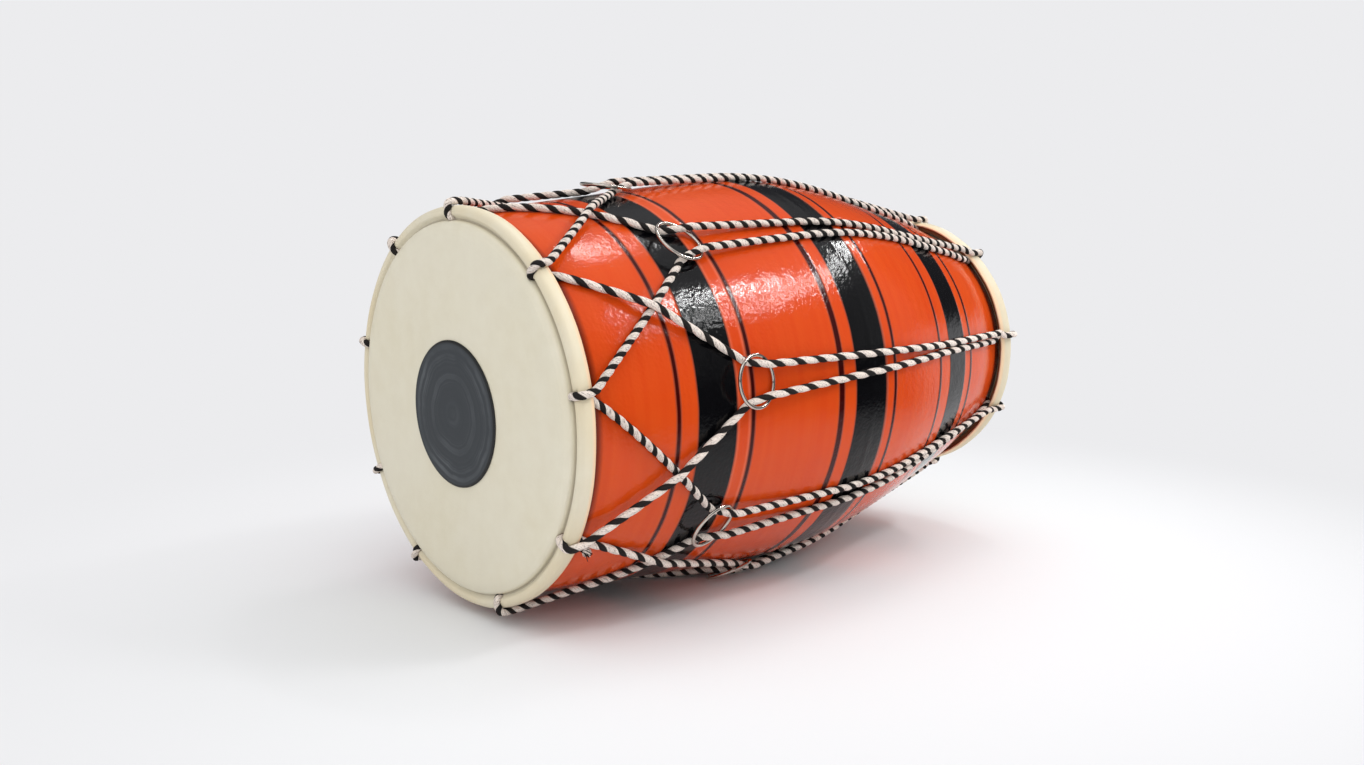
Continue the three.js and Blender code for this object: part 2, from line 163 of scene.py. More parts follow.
# The studio: its floor's reach and fade, its lamps as (width, height) and place, and its camera
FLOOR_REACH, FLOOR_FADE = 14.0, (0.16, 0.7)
LAMPS = {
    "key": ((2.2, 2.2), (-1.3, -0.7, 1.5)),
    "top": ((2.4, 2.4), (0.1, -0.7, 2.1)),
    "front": ((1.6, 1.2), (0.4, -2.1, 0.95)),
    "side": ((2.0, 2.0), (1.7, -1.3, 1.3)),
    "strip": ((2.3, 0.05), (1.44, -0.62, 1.46)),
    "window": ((0.42, 0.05), (1.05, -1.2, 1.72)),
    "ceiling": ((0.5, 0.07), (0.83, 0.12, 2.2)),
}
LAMPS_LOOK_AT = Vector((0, 0, 0.12))
CAMERA_PLACE = (-0.6651, -0.7035, 0.2631)
CAMERA_AXES = ((0.7482, -0.6635, -0.0009), (0.0866, 0.0962, 0.9915), (-0.6578, -0.7419, 0.1295))


def display(red, green, blue):
    """A linear colour from the 0-255 values that a screen shows."""
    values = [v / 255 for v in (red, green, blue)]
    return tuple(v / 12.92 if v <= 0.04045 else ((v + 0.055) / 1.055) ** 2.4 for v in values)


def length_of(label, about, millimetres):
    """A length property, shown in the scene's own unit."""
    return bpy.props.FloatProperty(
        name=label, description=about, default=millimetres * MM, min=0, unit="LENGTH", precision=5
    )


def share_of(label, about, value):
    """A property from 0 to 1."""
    return bpy.props.FloatProperty(name=label, description=about, default=value, min=0, max=1)


def watts_of(label, about, value):
    """A lamp's power."""
    return bpy.props.FloatProperty(name=label, description=f"Watts of the {about} lamp", default=value, min=0)


def colour_of(label, about, *values):
    """A colour property, from the values that a screen shows."""
    return bpy.props.FloatVectorProperty(
        name=label, description=about, default=display(*values), min=0, max=1, size=3, subtype="COLOR"
    )


class BarrelSizes(bpy.types.PropertyGroup):
    """Sizes of the turned wooden shell"""

    length: length_of("Length", "From one head's face to the other's", 470)
    belly_radius: length_of("Belly radius", "Largest radius of the wood", 143.9)
    wall: length_of("Wall", "Thickness of the wood", 10)
    mouth_land: length_of("Mouth land", "Flat left on the mouth inside its rounding", 4)
    clearance: length_of("Clearance", "Gap between wood and skin", 0.3)
    ridge_station: length_of("Ridge station", "Where the belly's faint turning ridge stands", 245)
    ridge_height: length_of("Ridge height", "How far the ridge stands out", 0.25)
    waver: length_of("Waver", "How far the turned surface strays from true", 0.12)


class HeadSizes(bpy.types.PropertyGroup):
    """Sizes of the two heads and the tuning patch"""

    skin: length_of("Skin thickness", "Thickness of the goatskin", 1.2)
    edge_round: length_of("Edge rounding", "Rounding where the skin bends over the rim", 6)
    valley: length_of("Groove station", "Depth of the groove between rim and hoop", 5.6)
    lip: length_of("Lip station", "How far the hoop stands behind the face", 2.4)
    front_rise: length_of("Front hoop rise", "Height of the larger head's hoop over its rim", 8.8)
    front_back: length_of("Front hoop back", "Where the larger head's skin ends", 13.6)
    rear_rise: length_of("Rear hoop rise", "Height of the smaller head's hoop over its rim", 9.7)
    rear_back: length_of("Rear hoop back", "Where the smaller head's skin ends", 16.7)
    raw_drop: length_of("Raw edge drop", "How far the skin's raw edge turns down behind the hoop", 1.3)
    patch_radius: length_of("Patch radius", "Radius of the tuning patch", 48.4)
    patch_thickness: length_of("Patch thickness", "Thickness of the tuning patch", 1.1)
    patch_chamfer: length_of("Patch edge", "Width of the patch's sloping edge", 1.2)
    patch_offset: length_of("Patch offset", "How far the patch lies off the middle", 4.1)
    patch_bearing: bpy.props.FloatProperty(
        name="Patch bearing", description="Which way the patch is off", subtype="ANGLE",
        default=math.radians(-49),
    )


class RopeSizes(bpy.types.PropertyGroup):
    """Sizes of the rope and of the rings that it runs through"""

    radius: length_of("Rope radius", "Half the rope's thickness", 2.65)
    seat: length_of("Seat", "Gap between the rope and what it lies on", 0.1)
    solid_lift: length_of("Solid lift", "Height of the plain solid rope's middle over the wood", 3.1)
    groove: share_of("Groove", "Depth of the valley between the yarns", 0.2)
    dark_share: share_of("Dark share", "Share of the rope's girth that the dark yarn takes", 0.42)
    hole: length_of("Hole", "Gap round the rope where it goes through the skin", 0.2)
    step: length_of("Section step", "Length of rope from one section to the next", 0.8)
    corners: bpy.props.IntProperty(name="Corners", description="Points round the rope", default=20, min=8)
    nose: length_of("Nose station", "Where the rope turns in front of the hoop", 1.8)
    turn: length_of("Turn station", "Where the rope's turn round the hoop begins", 5)
    pair_spacing: length_of("Pair spacing", "From one rear strand to its partner beside it", 5.9)
    pair_meets: length_of("Pair meets", "How far from the rear face the strands come together", 128)
    ring_radius: length_of("Ring radius", "From a ring's middle to the middle of its wire", 16.9)
    ring_wire: length_of("Ring wire", "Thickness of a ring's wire", 2.4)
    ring_play: length_of("Ring play", "Gap between a ring and its strands", 0.6)
    weld: share_of("Weld", "How far a ring's weld swells its wire", 0.12)
    tail_station: length_of("Tail station", "Where the rope's loose end starts", 22)
    tail_reach: length_of("Tail reach", "Length of the rope's loose end", 9)
    tail_radius: length_of("Tail radius", "Half the thickness of the loose end", 1.7)


class Finishes(bpy.types.PropertyGroup):
    """Colours of the drum"""

    lacquer: colour_of("Lacquer", "Orange-red lacquer", 210, 78, 24)
    lacquer_deep: colour_of("Deep lacquer", "Lacquer where it lies thicker", 200, 58, 10)
    band: colour_of("Band", "Black painted bands", 7, 7, 9)
    line: colour_of("Line", "Thin dark lines", 56, 3, 1)
    # Painted shadow: the shade of the gap under each hoop, painted dark onto the lacquer beside it
    hoop_gap_shade: colour_of("Hoop_gap_shade", "Shade on the lacquer beside the hoops", 66, 20, 10)
    hairline: colour_of("Hairline", "Pale edges of the lines and bands", 230, 132, 104)
    skin: colour_of("Skin", "Goatskin", 218, 211, 191)
    skin_pale: colour_of("Pale skin", "Paler clouds in the skin", 227, 222, 204)
    skin_warm: colour_of("Warm skin", "Yellower clouds in the skin", 214, 205, 178)
    hoop_warm: colour_of("Warm hoop", "Skin handled and smoked over the hoop", 216, 201, 168)
    # Painted shade: a dark brown line painted into the groove between the face and the hoop
    groove: colour_of("Groove", "Shade in the groove beside the hoop", 96, 70, 42)
    raw_edge: colour_of("Raw edge", "The skin's cut edge", 240, 204, 164)
    paste: colour_of("Paste", "Black tuning paste", 46, 51, 56)
    paste_worn: colour_of("Worn paste", "Paste rubbed paler", 84, 88, 92)
    paste_rim: colour_of("Paste rim", "The paste's unrubbed edge", 18, 18, 17)
    yarn_pale: colour_of("Pale yarn", "Cream cotton", 244, 234, 224)
    yarn_soiled: colour_of("Soiled yarn", "Handled cotton", 220, 200, 188)
    yarn_dark: colour_of("Dark yarn", "Black cotton", 20, 19, 20)
    fleck: colour_of("Fleck", "Dark flecks in the cream cotton", 124, 112, 108)
    steel: colour_of("Steel", "Ring steel", 216, 208, 198)
    cane: colour_of("Cane", "Hoop cane", 118, 82, 52)
    wood: colour_of("Wood", "Bare wood inside the barrel", 168, 120, 72)


class StageSettings(bpy.types.PropertyGroup):
    """Floor, lights and camera"""

    backdrop: colour_of("Backdrop", "Background", 236, 236, 238)
    floor: colour_of("Floor", "Floor under the drum", 230, 231, 233)
    walls: colour_of("Walls", "Room around the backdrop, as gloss mirrors it", 66, 66, 70)
    ambient: bpy.props.FloatProperty(name="Ambient", description="Light from all round", default=0.79, min=0)
    key: watts_of("Key", "wide main", 12)
    top: watts_of("Top", "wide top", 2.5)
    front: watts_of("Front", "low front", 0.5)
    side: watts_of("Side", "wide side", 3)
    strip: watts_of("Strip", "long side", 14)
    window: watts_of("Window", "small side", 8)
    ceiling: watts_of("Ceiling", "small top", 3.5)
    focal: bpy.props.FloatProperty(name="Focal length", description="In millimetres", default=33.52, min=1)


# Places on the drum


def on_axis(x, radius, degrees):
    """Points at stations x along the axis, at these radii and bearings."""
    angle = np.radians(degrees)
    return np.stack(np.broadcast_arrays(x, radius * np.cos(angle), radius * np.sin(angle)), -1)


def swing(start, end):
    """Degrees from one bearing to another the short way round."""
    return (end - start + 180) % 360 - 180


def through(points, steps):
    """A smooth line through points, with so many steps from each to the next."""
    points = np.asarray(points, float)
    padded = np.vstack([2 * points[0] - points[1], points, 2 * points[-1] - points[-2]])
    chords = np.sqrt(np.linalg.norm(np.diff(padded, axis=0), axis=1))
    knots = np.concatenate([[0], np.cumsum(np.maximum(chords, 1e-6))])
    made = []
    for i in range(1, len(padded) - 2):
        a, b, c, d = padded[i - 1 : i + 3]
        ta, tb, tc, td = knots[i - 1 : i + 3]
        t = np.linspace(tb, tc, steps, endpoint=False)[:, None]
        ab = ((tb - t) * a + (t - ta) * b) / (tb - ta)
        bc = ((tc - t) * b + (t - tb) * c) / (tc - tb)
        cd = ((td - t) * c + (t - tc) * d) / (td - tc)
        abc = ((tc - t) * ab + (t - ta) * bc) / (tc - ta)
        bcd = ((td - t) * bc + (t - tb) * cd) / (td - tb)
        made.append(((tc - t) * abc + (t - tb) * bcd) / (tc - tb))
    return np.vstack([*made, points[-1:]])


def moved_in(line, distance):
    """A profile line of (x, radius) moved towards the inside by a distance."""
    line = np.asarray(line, float)
    steps = np.diff(line, axis=0)
    steps /= np.linalg.norm(steps, axis=1)[:, None]
    before, after = np.vstack([steps[:1], steps]), np.vstack([steps, steps[-1:]])
    miter = np.stack([before[:, 1] + after[:, 1], -before[:, 0] - after[:, 0]], 1)
    miter /= np.linalg.norm(miter, axis=1)[:, None]
    square = np.stack([before[:, 1], -before[:, 0]], 1)
    stretch = 1 / np.maximum((miter * square).sum(1), 0.5)
    moved = line + miter * distance * stretch[:, None]
    moved[0] = line[0] + (distance, 0)
    return moved


class Head:
    """One head: its hoop's height and depth, and where its stations lie along the drum."""

    def __init__(self, drum, rise, back, rear):
        self.rise, self.back, self.rear = rise, back, rear
        self.length = drum.barrel.length
        over_wood = drum.heads.skin + drum.barrel.clearance
        self.rim = float(drum.radius(self.place(drum.heads.valley))) + over_wood
        self.hoop = self.rim + rise

    def place(self, station):
        return self.length - station if self.rear else station

    def line(self, heads):
        """The skin's outer line, from the middle over the rim into the groove and over the hoop."""
        depth = heads.valley - heads.lip
        bend = heads.edge_round
        points = [(d * bend, self.rim - bend + o * bend) for d, o in RIM_SHARES]
        points += [(heads.valley, self.rim)]
        points += [(heads.lip + d * depth, self.rim + o * self.rise) for d, o in LIP_SHARES]
        width = self.back - heads.lip
        points += [(heads.lip + d * width, self.hoop - o * heads.raw_drop) for d, o in CROWN_SHARES]
        return points


class Drum:
    """Everything that is worked out from the sizes, in the drum's own frame."""

    def __init__(self, scene):
        self.barrel, self.heads, self.rope = scene.dholak_barrel, scene.dholak_heads, scene.dholak_rope
        stations, radii = np.array(BARREL_SHARES).T
        self.stations = stations * self.barrel.length
        self.radii = radii * self.barrel.belly_radius
        self.slopes = np.gradient(self.radii, self.stations)
        self.front = Head(self, self.heads.front_rise, self.heads.front_back, False)
        self.rear = Head(self, self.heads.rear_rise, self.heads.rear_back, True)
        self.rings = [share * self.barrel.length for share in RING_STATION_SHARES]
        self.lift = self.rope.radius + self.rope.seat
        self.seat_rings()

    def radius(self, x):
        """Radius of the wood at x, on a smooth line through the barrel's stations."""
        x = np.clip(np.asarray(x, float), self.stations[0], self.stations[-1])
        i = np.clip(np.searchsorted(self.stations, x, side="right") - 1, 0, len(self.stations) - 2)
        width = self.stations[i + 1] - self.stations[i]
        t = (x - self.stations[i]) / width
        a, b = self.radii[i], self.radii[i + 1]
        start, end = self.slopes[i] * width, self.slopes[i + 1] * width
        return a + t * (start + t * (3 * (b - a) - 2 * start - end + t * (2 * (a - b) + start + end)))

    def on_shell(self, x, degrees, side, lift):
        """Points that stand lift above the wood, side metres round it from a bearing."""
        radius = self.radius(x) + lift
        return on_axis(x, radius, degrees + np.degrees(side / radius))

    def seat_rings(self):
        """Tilt and height of the rings: the rear arc lies on the wood, the front arc over the strands."""
        rope, radius = self.rope, self.rope.ring_radius
        wire, belly = rope.ring_wire / 2, self.barrel.belly_radius
        self.entry_side = FRONT_ENTRY_SHARE * radius
        self.exit_side = REAR_EXIT_SHARE * radius
        self.entry_reach = math.sqrt(radius**2 - self.entry_side**2)
        self.exit_reach = math.sqrt(radius**2 - self.exit_side**2)
        rise = rope.solid_lift - self.entry_side**2 / (2 * belly) + SOLID_ROPE + rope.ring_play
        self.slope = rise / (self.entry_reach + radius)
        self.ring_height = wire + self.barrel.clearance + radius * self.slope
        over = wire + SOLID_ROPE + rope.ring_play + self.exit_side**2 / (2 * belly)
        self.exit_lift = self.ring_height - self.exit_reach * self.slope + over

    def ring_gates(self, k, direction):
        """The middle of a strand in ring k, and its places before and behind the middle."""
        gates = []
        places = ((-self.entry_reach / 3, FRONT_GATE_SHARE), (self.exit_reach / 2, REAR_GATE_SHARE))
        for reach, share in places:
            climb = (reach + self.entry_reach) / (self.exit_reach + self.entry_reach)
            lift = self.lift + climb * (self.exit_lift - self.lift)
            side = direction * share * self.rope.ring_radius
            gates.append(self.on_shell(self.rings[k] + reach, RING_DEGREES[k], side, lift))
        return gates[0], (gates[0] + gates[1]) / 2, gates[1]

    def front_strand(self, k, step):
        """Start, end and bearings of a front strand, from loop k to the ring step places on."""
        target = (k + step) % LOOPS
        start = self.front.back - self.rope.turn / 2
        end = self.rings[target] - self.entry_reach
        side = math.degrees(-step * self.entry_side / (float(self.radius(end)) + self.rope.solid_lift))
        turn = swing(FRONT_LOOP_DEGREES[k], RING_DEGREES[target]) - side
        return start, end, turn / (end - start)

    def crossing(self, k, step):
        """Where strand k to step crosses the one that comes the other way."""
        start, _, rate = self.front_strand(k, step)
        _, _, other = self.front_strand((k + step) % LOOPS, -step)
        apart = swing(FRONT_LOOP_DEGREES[k], FRONT_LOOP_DEGREES[(k + step) % LOOPS])
        return start + apart / (rate - other)

    def tauten(self, x, degrees, lift):
        """A strand pulled taut over the wood: each point rises to the highest chord that spans it."""
        radius = self.radius(x) + lift
        places = on_axis(x, radius, degrees)
        for i in range(1, len(x) - 1):
            before, after = places[:i, None], places[None, i + 1 :]
            share = (x[i] - before[..., 0]) / (after[..., 0] - before[..., 0])
            chord = before + (after - before) * share[..., None]
            radius[i] = max(radius[i], np.hypot(chord[..., 1], chord[..., 2]).max())
        return on_axis(x, radius, degrees)

    def front_points(self, k, step, over):
        """A front strand from behind the hoop to its ring."""
        start, end, rate = self.front_strand(k, step)
        cross = self.crossing(k, step)
        on_top = CROSSING_RANK[k] > CROSSING_RANK[(k + step) % LOOPS]
        x = np.linspace(self.front.back, end, FRONT_STEPS)
        lean = math.atan(math.radians(rate) * float(self.radius(cross)))
        lift = np.full(len(x), self.lift)
        if on_top:
            apart = (x - cross) / math.cos(lean) * math.sin(2 * abs(lean))
            lift += np.sqrt(np.maximum((2 * self.rope.radius) ** 2 - apart**2, 0))
        if over:
            lift[0] = self.front.hoop + self.lift - float(self.radius(x[0]))
        return self.tauten(x, FRONT_LOOP_DEGREES[k] + rate * (x - start), lift)

    def rear_points(self, k, direction, over):
        """A rear strand from its ring to the rear hoop."""
        rope = self.rope
        leave = self.rings[k] + self.exit_reach
        edge = self.barrel.length - self.rear.back
        meets = self.barrel.length - rope.pair_meets
        x = np.concatenate([
            [leave],
            np.linspace(leave + rope.ring_wire, edge - CLOSING, REAR_STEPS),
            np.linspace(edge - CLOSING, edge, CLOSING_STEPS)[1:],
        ])
        spread = np.maximum((meets - x) / (meets - leave), 0)
        pinch = np.minimum((edge - x) / CLOSING, 1)
        half = rope.pair_spacing / 2
        side = direction * (half + spread * (self.exit_side - half)) * pinch
        centre = RING_DEGREES[k] + swing(RING_DEGREES[k], REAR_LOOP_DEGREES[k]) * (x - leave) / (edge - leave)
        degrees = centre + np.degrees(side / (self.radius(x) + rope.solid_lift))
        lift = np.where(x <= leave + rope.ring_wire, self.exit_lift, self.lift)
        if over:
            lift[-1] = self.rear.hoop + self.lift - float(self.radius(edge))
        return self.tauten(x, degrees, lift)

    def hoop_turn(self, head, degrees):
        """Round a hoop: over it, down in front of it and back under it along the wood."""
        rope = self.rope
        top = head.hoop + self.lift
        low = float(self.radius(head.place(rope.turn))) + self.lift
        bend = rope.turn - rope.nose
        angle = np.linspace(0, math.pi / 2, 7)
        station = head.place(rope.turn - bend * np.sin(angle))
        down = bend * (1 - np.cos(angle))
        upper = on_axis(station, top - down, degrees)
        lower = on_axis(station, low + down, degrees)[::-1]
        return np.vstack([upper, lower])

    def front_lace(self, k):
        """From the middle of ring k + 1 over hoop loop k and back under it to ring k - 1."""
        gate_a, middle_a, _ = self.ring_gates((k + 1) % LOOPS, 1)
        gate_b, middle_b, _ = self.ring_gates((k - 1) % LOOPS, -1)
        over = np.vstack([middle_a, gate_a, self.front_points(k, 1, True)[::-1]])
        under = np.vstack([self.front_points(k, -1, False), gate_b, middle_b])
        return over, self.hoop_turn(self.front, FRONT_LOOP_DEGREES[k]), under

    def rear_lace(self, k):
        """From the middle of ring k over the rear hoop and back under it to the same ring."""
        _, middle_a, gate_a = self.ring_gates(k, -1)
        _, middle_b, gate_b = self.ring_gates(k, 1)
        over = np.vstack([middle_a, gate_a, self.rear_points(k, -1, True)])
        under = np.vstack([self.rear_points(k, 1, False)[::-1], gate_b, middle_b])
        return over, self.hoop_turn(self.rear, REAR_LOOP_DEGREES[k]), under


# Making meshes


def placed(points):
    """Points of the drum's own frame in the row's frame."""
    points = np.asarray(points, float)
    lie = np.array(LIE)
    return points @ lie[:3, :3].T + lie[:3, 3]


def linked(name, data):
    """An object for some data, in the scene."""
    made = bpy.data.objects.new(name, data)
    bpy.context.scene.collection.objects.link(made)
    return made


def piece(name, vertices, faces, *materials, smooth=True):
    """A mesh object at the origin, with its place in its mesh."""
    mesh = bpy.data.meshes.new(name)
    mesh.from_pydata(np.asarray(vertices, float).tolist(), [], [list(map(int, f)) for f in faces])
    mesh.polygons.foreach_set("use_smooth", [smooth] * len(mesh.polygons))
    for material in materials:
        mesh.materials.append(material)
    mesh.update()
    return linked(name, mesh)


def turned(outline, sides):
    """Vertices and faces of a closed outline of (x, radius) turned about X. Its ends may lie on the axis."""
    angle = np.arange(sides) * 360 / sides
    rings, vertices, count = [], [], 0
    for x, radius in np.asarray(outline, float):
        on_the_axis = radius < 1e-7
        vertices.append([(x, 0, 0)] if on_the_axis else on_axis(x, radius, angle))
        rings.append([count] * sides if on_the_axis else list(range(count, count + sides)))
        count += len(vertices[-1])
    faces = []
    for i, near in enumerate(rings):
        far = rings[(i + 1) % len(rings)]
        if near[0] == near[1] and far[0] == far[1]:
            continue
        for j in range(sides):
            corners = (near[j], near[(j + 1) % sides], far[(j + 1) % sides], far[j])
            faces.append(list(dict.fromkeys(corners)))
    return np.vstack(vertices), faces


def grid_faces(rings, corners, closed=False, first=0):
    """Faces over rings of points: closed on itself lengthwise, or open with a cap at both ends."""
    index = first + np.arange(rings * corners).reshape(rings, corners)
    right = np.roll(index, -1, axis=1)
    sides = np.stack([index, right, np.roll(right, -1, axis=0), np.roll(index, -1, axis=0)], -1)
    if closed:
        return sides.reshape(-1, 4).tolist()
    return [*sides[:-1].reshape(-1, 4).tolist(), index[0][::-1].tolist(), index[-1].tolist()]


def facing_out(made):
    """Turns a closed mesh's faces outwards."""
    work = bmesh.new()
    work.from_mesh(made.data)
    bmesh.ops.recalc_face_normals(work, faces=work.faces)
    work.to_mesh(made.data)
    work.free()
    return made


def plain_mesh(made):
    """Gives an object what its modifiers show as its own plain mesh, and takes them off."""
    shown = made.evaluated_get(bpy.context.evaluated_depsgraph_get())
    mesh = bpy.data.meshes.new_from_object(shown)
    made.modifiers.clear()
    made.data = mesh
    return made


def without_scraps(made):
    """Removes the slivers that cutting left, and the points that join only two edges."""
    work = bmesh.new()
    work.from_mesh(made.data)
    bmesh.ops.remove_doubles(work, verts=work.verts, dist=WELD)
    unseen, groups = set(work.verts), []
    while unseen:
        edge, group = [next(iter(unseen))], set()
        while edge:
            spot = edge.pop()
            if spot in group:
                continue
            group.add(spot)
            edge += [e.other_vert(spot) for e in spot.link_edges]
        unseen -= group
        groups.append(group)
    largest = max(groups, key=len)
    bmesh.ops.delete(work, geom=[v for v in work.verts if v not in largest], context="VERTS")
    bmesh.ops.dissolve_verts(work, verts=[v for v in work.verts if len(v.link_edges) == 2])
    work.to_mesh(made.data)
    work.free()


def pierced(made, cutters):
    """Cuts holes where closed cutters pass through, and removes the cutters."""
    for cutter in cutters:
        cut = made.modifiers.new("hole", "BOOLEAN")
        cut.operation = "DIFFERENCE"
        cut.solver = "MANIFOLD"
        cut.object = cutter
    plain_mesh(made)
    for cutter in cutters:
        bpy.data.objects.remove(cutter)
    without_scraps(made)


def stands_for(made, body, node):
    """Fixes a finished piece to its body, in place of its solid and with its finish."""
    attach(made, body)
    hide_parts(node)


# Wiring nodes


class Nodes:
    """A node tree, with short ways to add what is used again and again."""

    def __init__(self, tree):
        self.tree = tree

    def supply(self, socket, value):
        """Links a socket to the one that feeds it, or sets its value."""
        if isinstance(value, bpy.types.NodeSocket):
            self.tree.links.new(value, socket)
        else:
            socket.default_value = value

    def add(self, kind, inputs=None, **settings):
        """Adds a node: its settings first, then its inputs."""
        node = self.tree.nodes.new(kind)
        for name, value in settings.items():
            setattr(node, name, value)
        for key, value in (inputs or {}).items():
            self.supply(node.inputs[key], value)
        return node

    def maths(self, operation, *values):
        """A Math node's result."""
        return self.add("ShaderNodeMath", dict(enumerate(values)), operation=operation).outputs[0]

    def vector(self, operation, *values):
        """A Vector Math node's result: a vector, or a number for a length or a dot product."""
        node = self.add("ShaderNodeVectorMath", dict(enumerate(values)), operation=operation)
        return node.outputs["Value" if operation in ("LENGTH", "DOT_PRODUCT") else "Vector"]

    def split(self, vector):
        """A vector's three parts."""
        return self.add("ShaderNodeSeparateXYZ", {0: vector}).outputs

    def from_axis(self, vector):
        """How far a point lies from the X axis."""
        return self.vector("LENGTH", self.vector("MULTIPLY", vector, (0, 1, 1)))

    def stretched(self, vector, *scale):
        """A vector scaled along each axis."""
        return self.add("ShaderNodeMapping", {"Vector": vector, "Scale": scale}).outputs[0]

    def ranged(self, value, start, end, low=0.0, high=1.0, smooth=False):
        """A value's way from start to end, as a number from low to high that never passes them."""
        kind = "SMOOTHSTEP" if smooth else "LINEAR"
        inputs = {0: value, 1: start, 2: end, 3: low, 4: high}
        return self.add("ShaderNodeMapRange", inputs, interpolation_type=kind).outputs[0]

    def over_mm(self, distance, span, low=0.0, high=1.0):
        """The same for a distance and a (start, end) in millimetres."""
        start, end = span
        return self.ranged(distance, start * MM, end * MM, low, high)

    def blend(self, share, first, second):
        """A colour between two, by a share."""
        ends = [c if isinstance(c, bpy.types.NodeSocket) else (*c, 1) for c in (first, second)]
        return self.add("ShaderNodeMix", {0: share, 6: ends[0], 7: ends[1]}, data_type="RGBA").outputs[2]

    def noise(self, vector, scale=1.0, detail=2.0, roughness=0.5):
        """Noise from 0 to 1 over the surface."""
        inputs = {"Vector": vector, "Scale": scale, "Detail": detail, "Roughness": roughness}
        return self.add("ShaderNodeTexNoise", inputs).outputs[0]

    def clouds(self, vector, scale=1.0, detail=3.0, spread=0.3):
        """The clouds group's mask."""
        inputs = {0: vector, 1: scale, 2: detail, 3: spread}
        return self.add("ShaderNodeGroup", inputs, node_tree=clouds_group()).outputs[0]

    def grain(self, vector, scale, ratio, fine_share):
        """The grain group's height."""
        inputs = {0: vector, 1: scale, 2: ratio, 3: fine_share}
        return self.add("ShaderNodeGroup", inputs, node_tree=grain_group()).outputs[0]

    def steps(self, value, stops):
        """A number read from a ramp of (position, number) stops."""
        ramp = self.add("ShaderNodeValToRGB", {0: value})
        points = ramp.color_ramp.elements
        while len(points) < len(stops):
            points.new(0.5)
        for point, (position, _) in zip(points, stops):
            point.position = position
        for point, (_, number) in zip(points, stops):
            point.color = (number, number, number, 1)
        return ramp.outputs[0]

    def within(self, value, spans, soft):
        """1 inside each (start, end) span of a value and 0 outside, with soft ends."""
        stops = []
        for start, end in spans:
            stops += [(start - soft, 0), (start + soft, 1), (end - soft, 1), (end + soft, 0)]
        return self.steps(value, stops)


def shader_group(name, sizes, result, build):
    """A shader node group, built once: a vector and named sizes go in, and one number comes out."""
    found = bpy.data.node_groups.get(name)
    if found:
        return found
    tree = bpy.data.node_groups.new(name, "ShaderNodeTree")
    tree.interface.new_socket(name="Vector", in_out="INPUT", socket_type="NodeSocketVector")
    for label, value in sizes.items():
        socket = tree.interface.new_socket(name=label, in_out="INPUT", socket_type="NodeSocketFloat")
        socket.default_value = value
    tree.interface.new_socket(name=result, in_out="OUTPUT", socket_type="NodeSocketFloat")
    given = tree.nodes.new("NodeGroupInput").outputs
    end = tree.nodes.new("NodeGroupOutput").inputs[0]
    tree.links.new(build(Nodes(tree), given), end)
    return tree


def clouds_group():
    """Soft clouds of tone: a mask from 0 to 1 over the surface."""

    def build(nodes, given):
        noise = nodes.noise(given["Vector"], given["Scale"], given["Detail"], 0.55)
        low = nodes.maths("SUBTRACT", 0.5, given["Spread"])
        high = nodes.maths("ADD", 0.5, given["Spread"])
        return nodes.ranged(noise, low, high, smooth=True)

    return shader_group("Clouds", {"Scale": 20.0, "Detail": 4.0, "Spread": 0.2}, "Mask", build)


def grain_group():
    """Fine surface relief from two sizes of noise, as a height."""

    def build(nodes, given):
        coarse = nodes.noise(given["Vector"], given["Scale"], detail=2.0)
        finer = nodes.maths("MULTIPLY", given["Scale"], given["Ratio"])
        fine = nodes.noise(given["Vector"], finer, detail=3.0)
        return nodes.maths("ADD", coarse, nodes.maths("MULTIPLY", fine, given["Fine share"]))

    return shader_group("Grain", {"Scale": 300.0, "Ratio": 4.0, "Fine share": 0.3}, "Height", build)


# Finishes


class Finish(Nodes):
    """A new material: its nodes and its main shader."""

    def __init__(self, name):
        self.material = bpy.data.materials.new(name)
        self.material.use_nodes = True
        super().__init__(self.material.node_tree)
        self.shader = self.tree.nodes["Principled BSDF"]

    def give(self, key, value):
        """Sets one of the main shader's inputs, or feeds it."""
        self.supply(self.shader.inputs[key], value)

    def bump(self, height, distance):
        """Feeds a height to the shader's normal."""
        self.give("Normal", self.add("ShaderNodeBump", {"Height": height, "Distance": distance}).outputs[0])

    def drum_place(self):
        """Coordinates in the drum's own frame, with X along its axis."""
        source = self.add("ShaderNodeTexCoord").outputs["Object"]
        inputs = {"Vector": source, "Location": LIE_PLACE, "Rotation": (0, LIE_TILT, 0)}
        return self.add("ShaderNodeMapping", inputs, vector_type="TEXTURE").outputs[0]


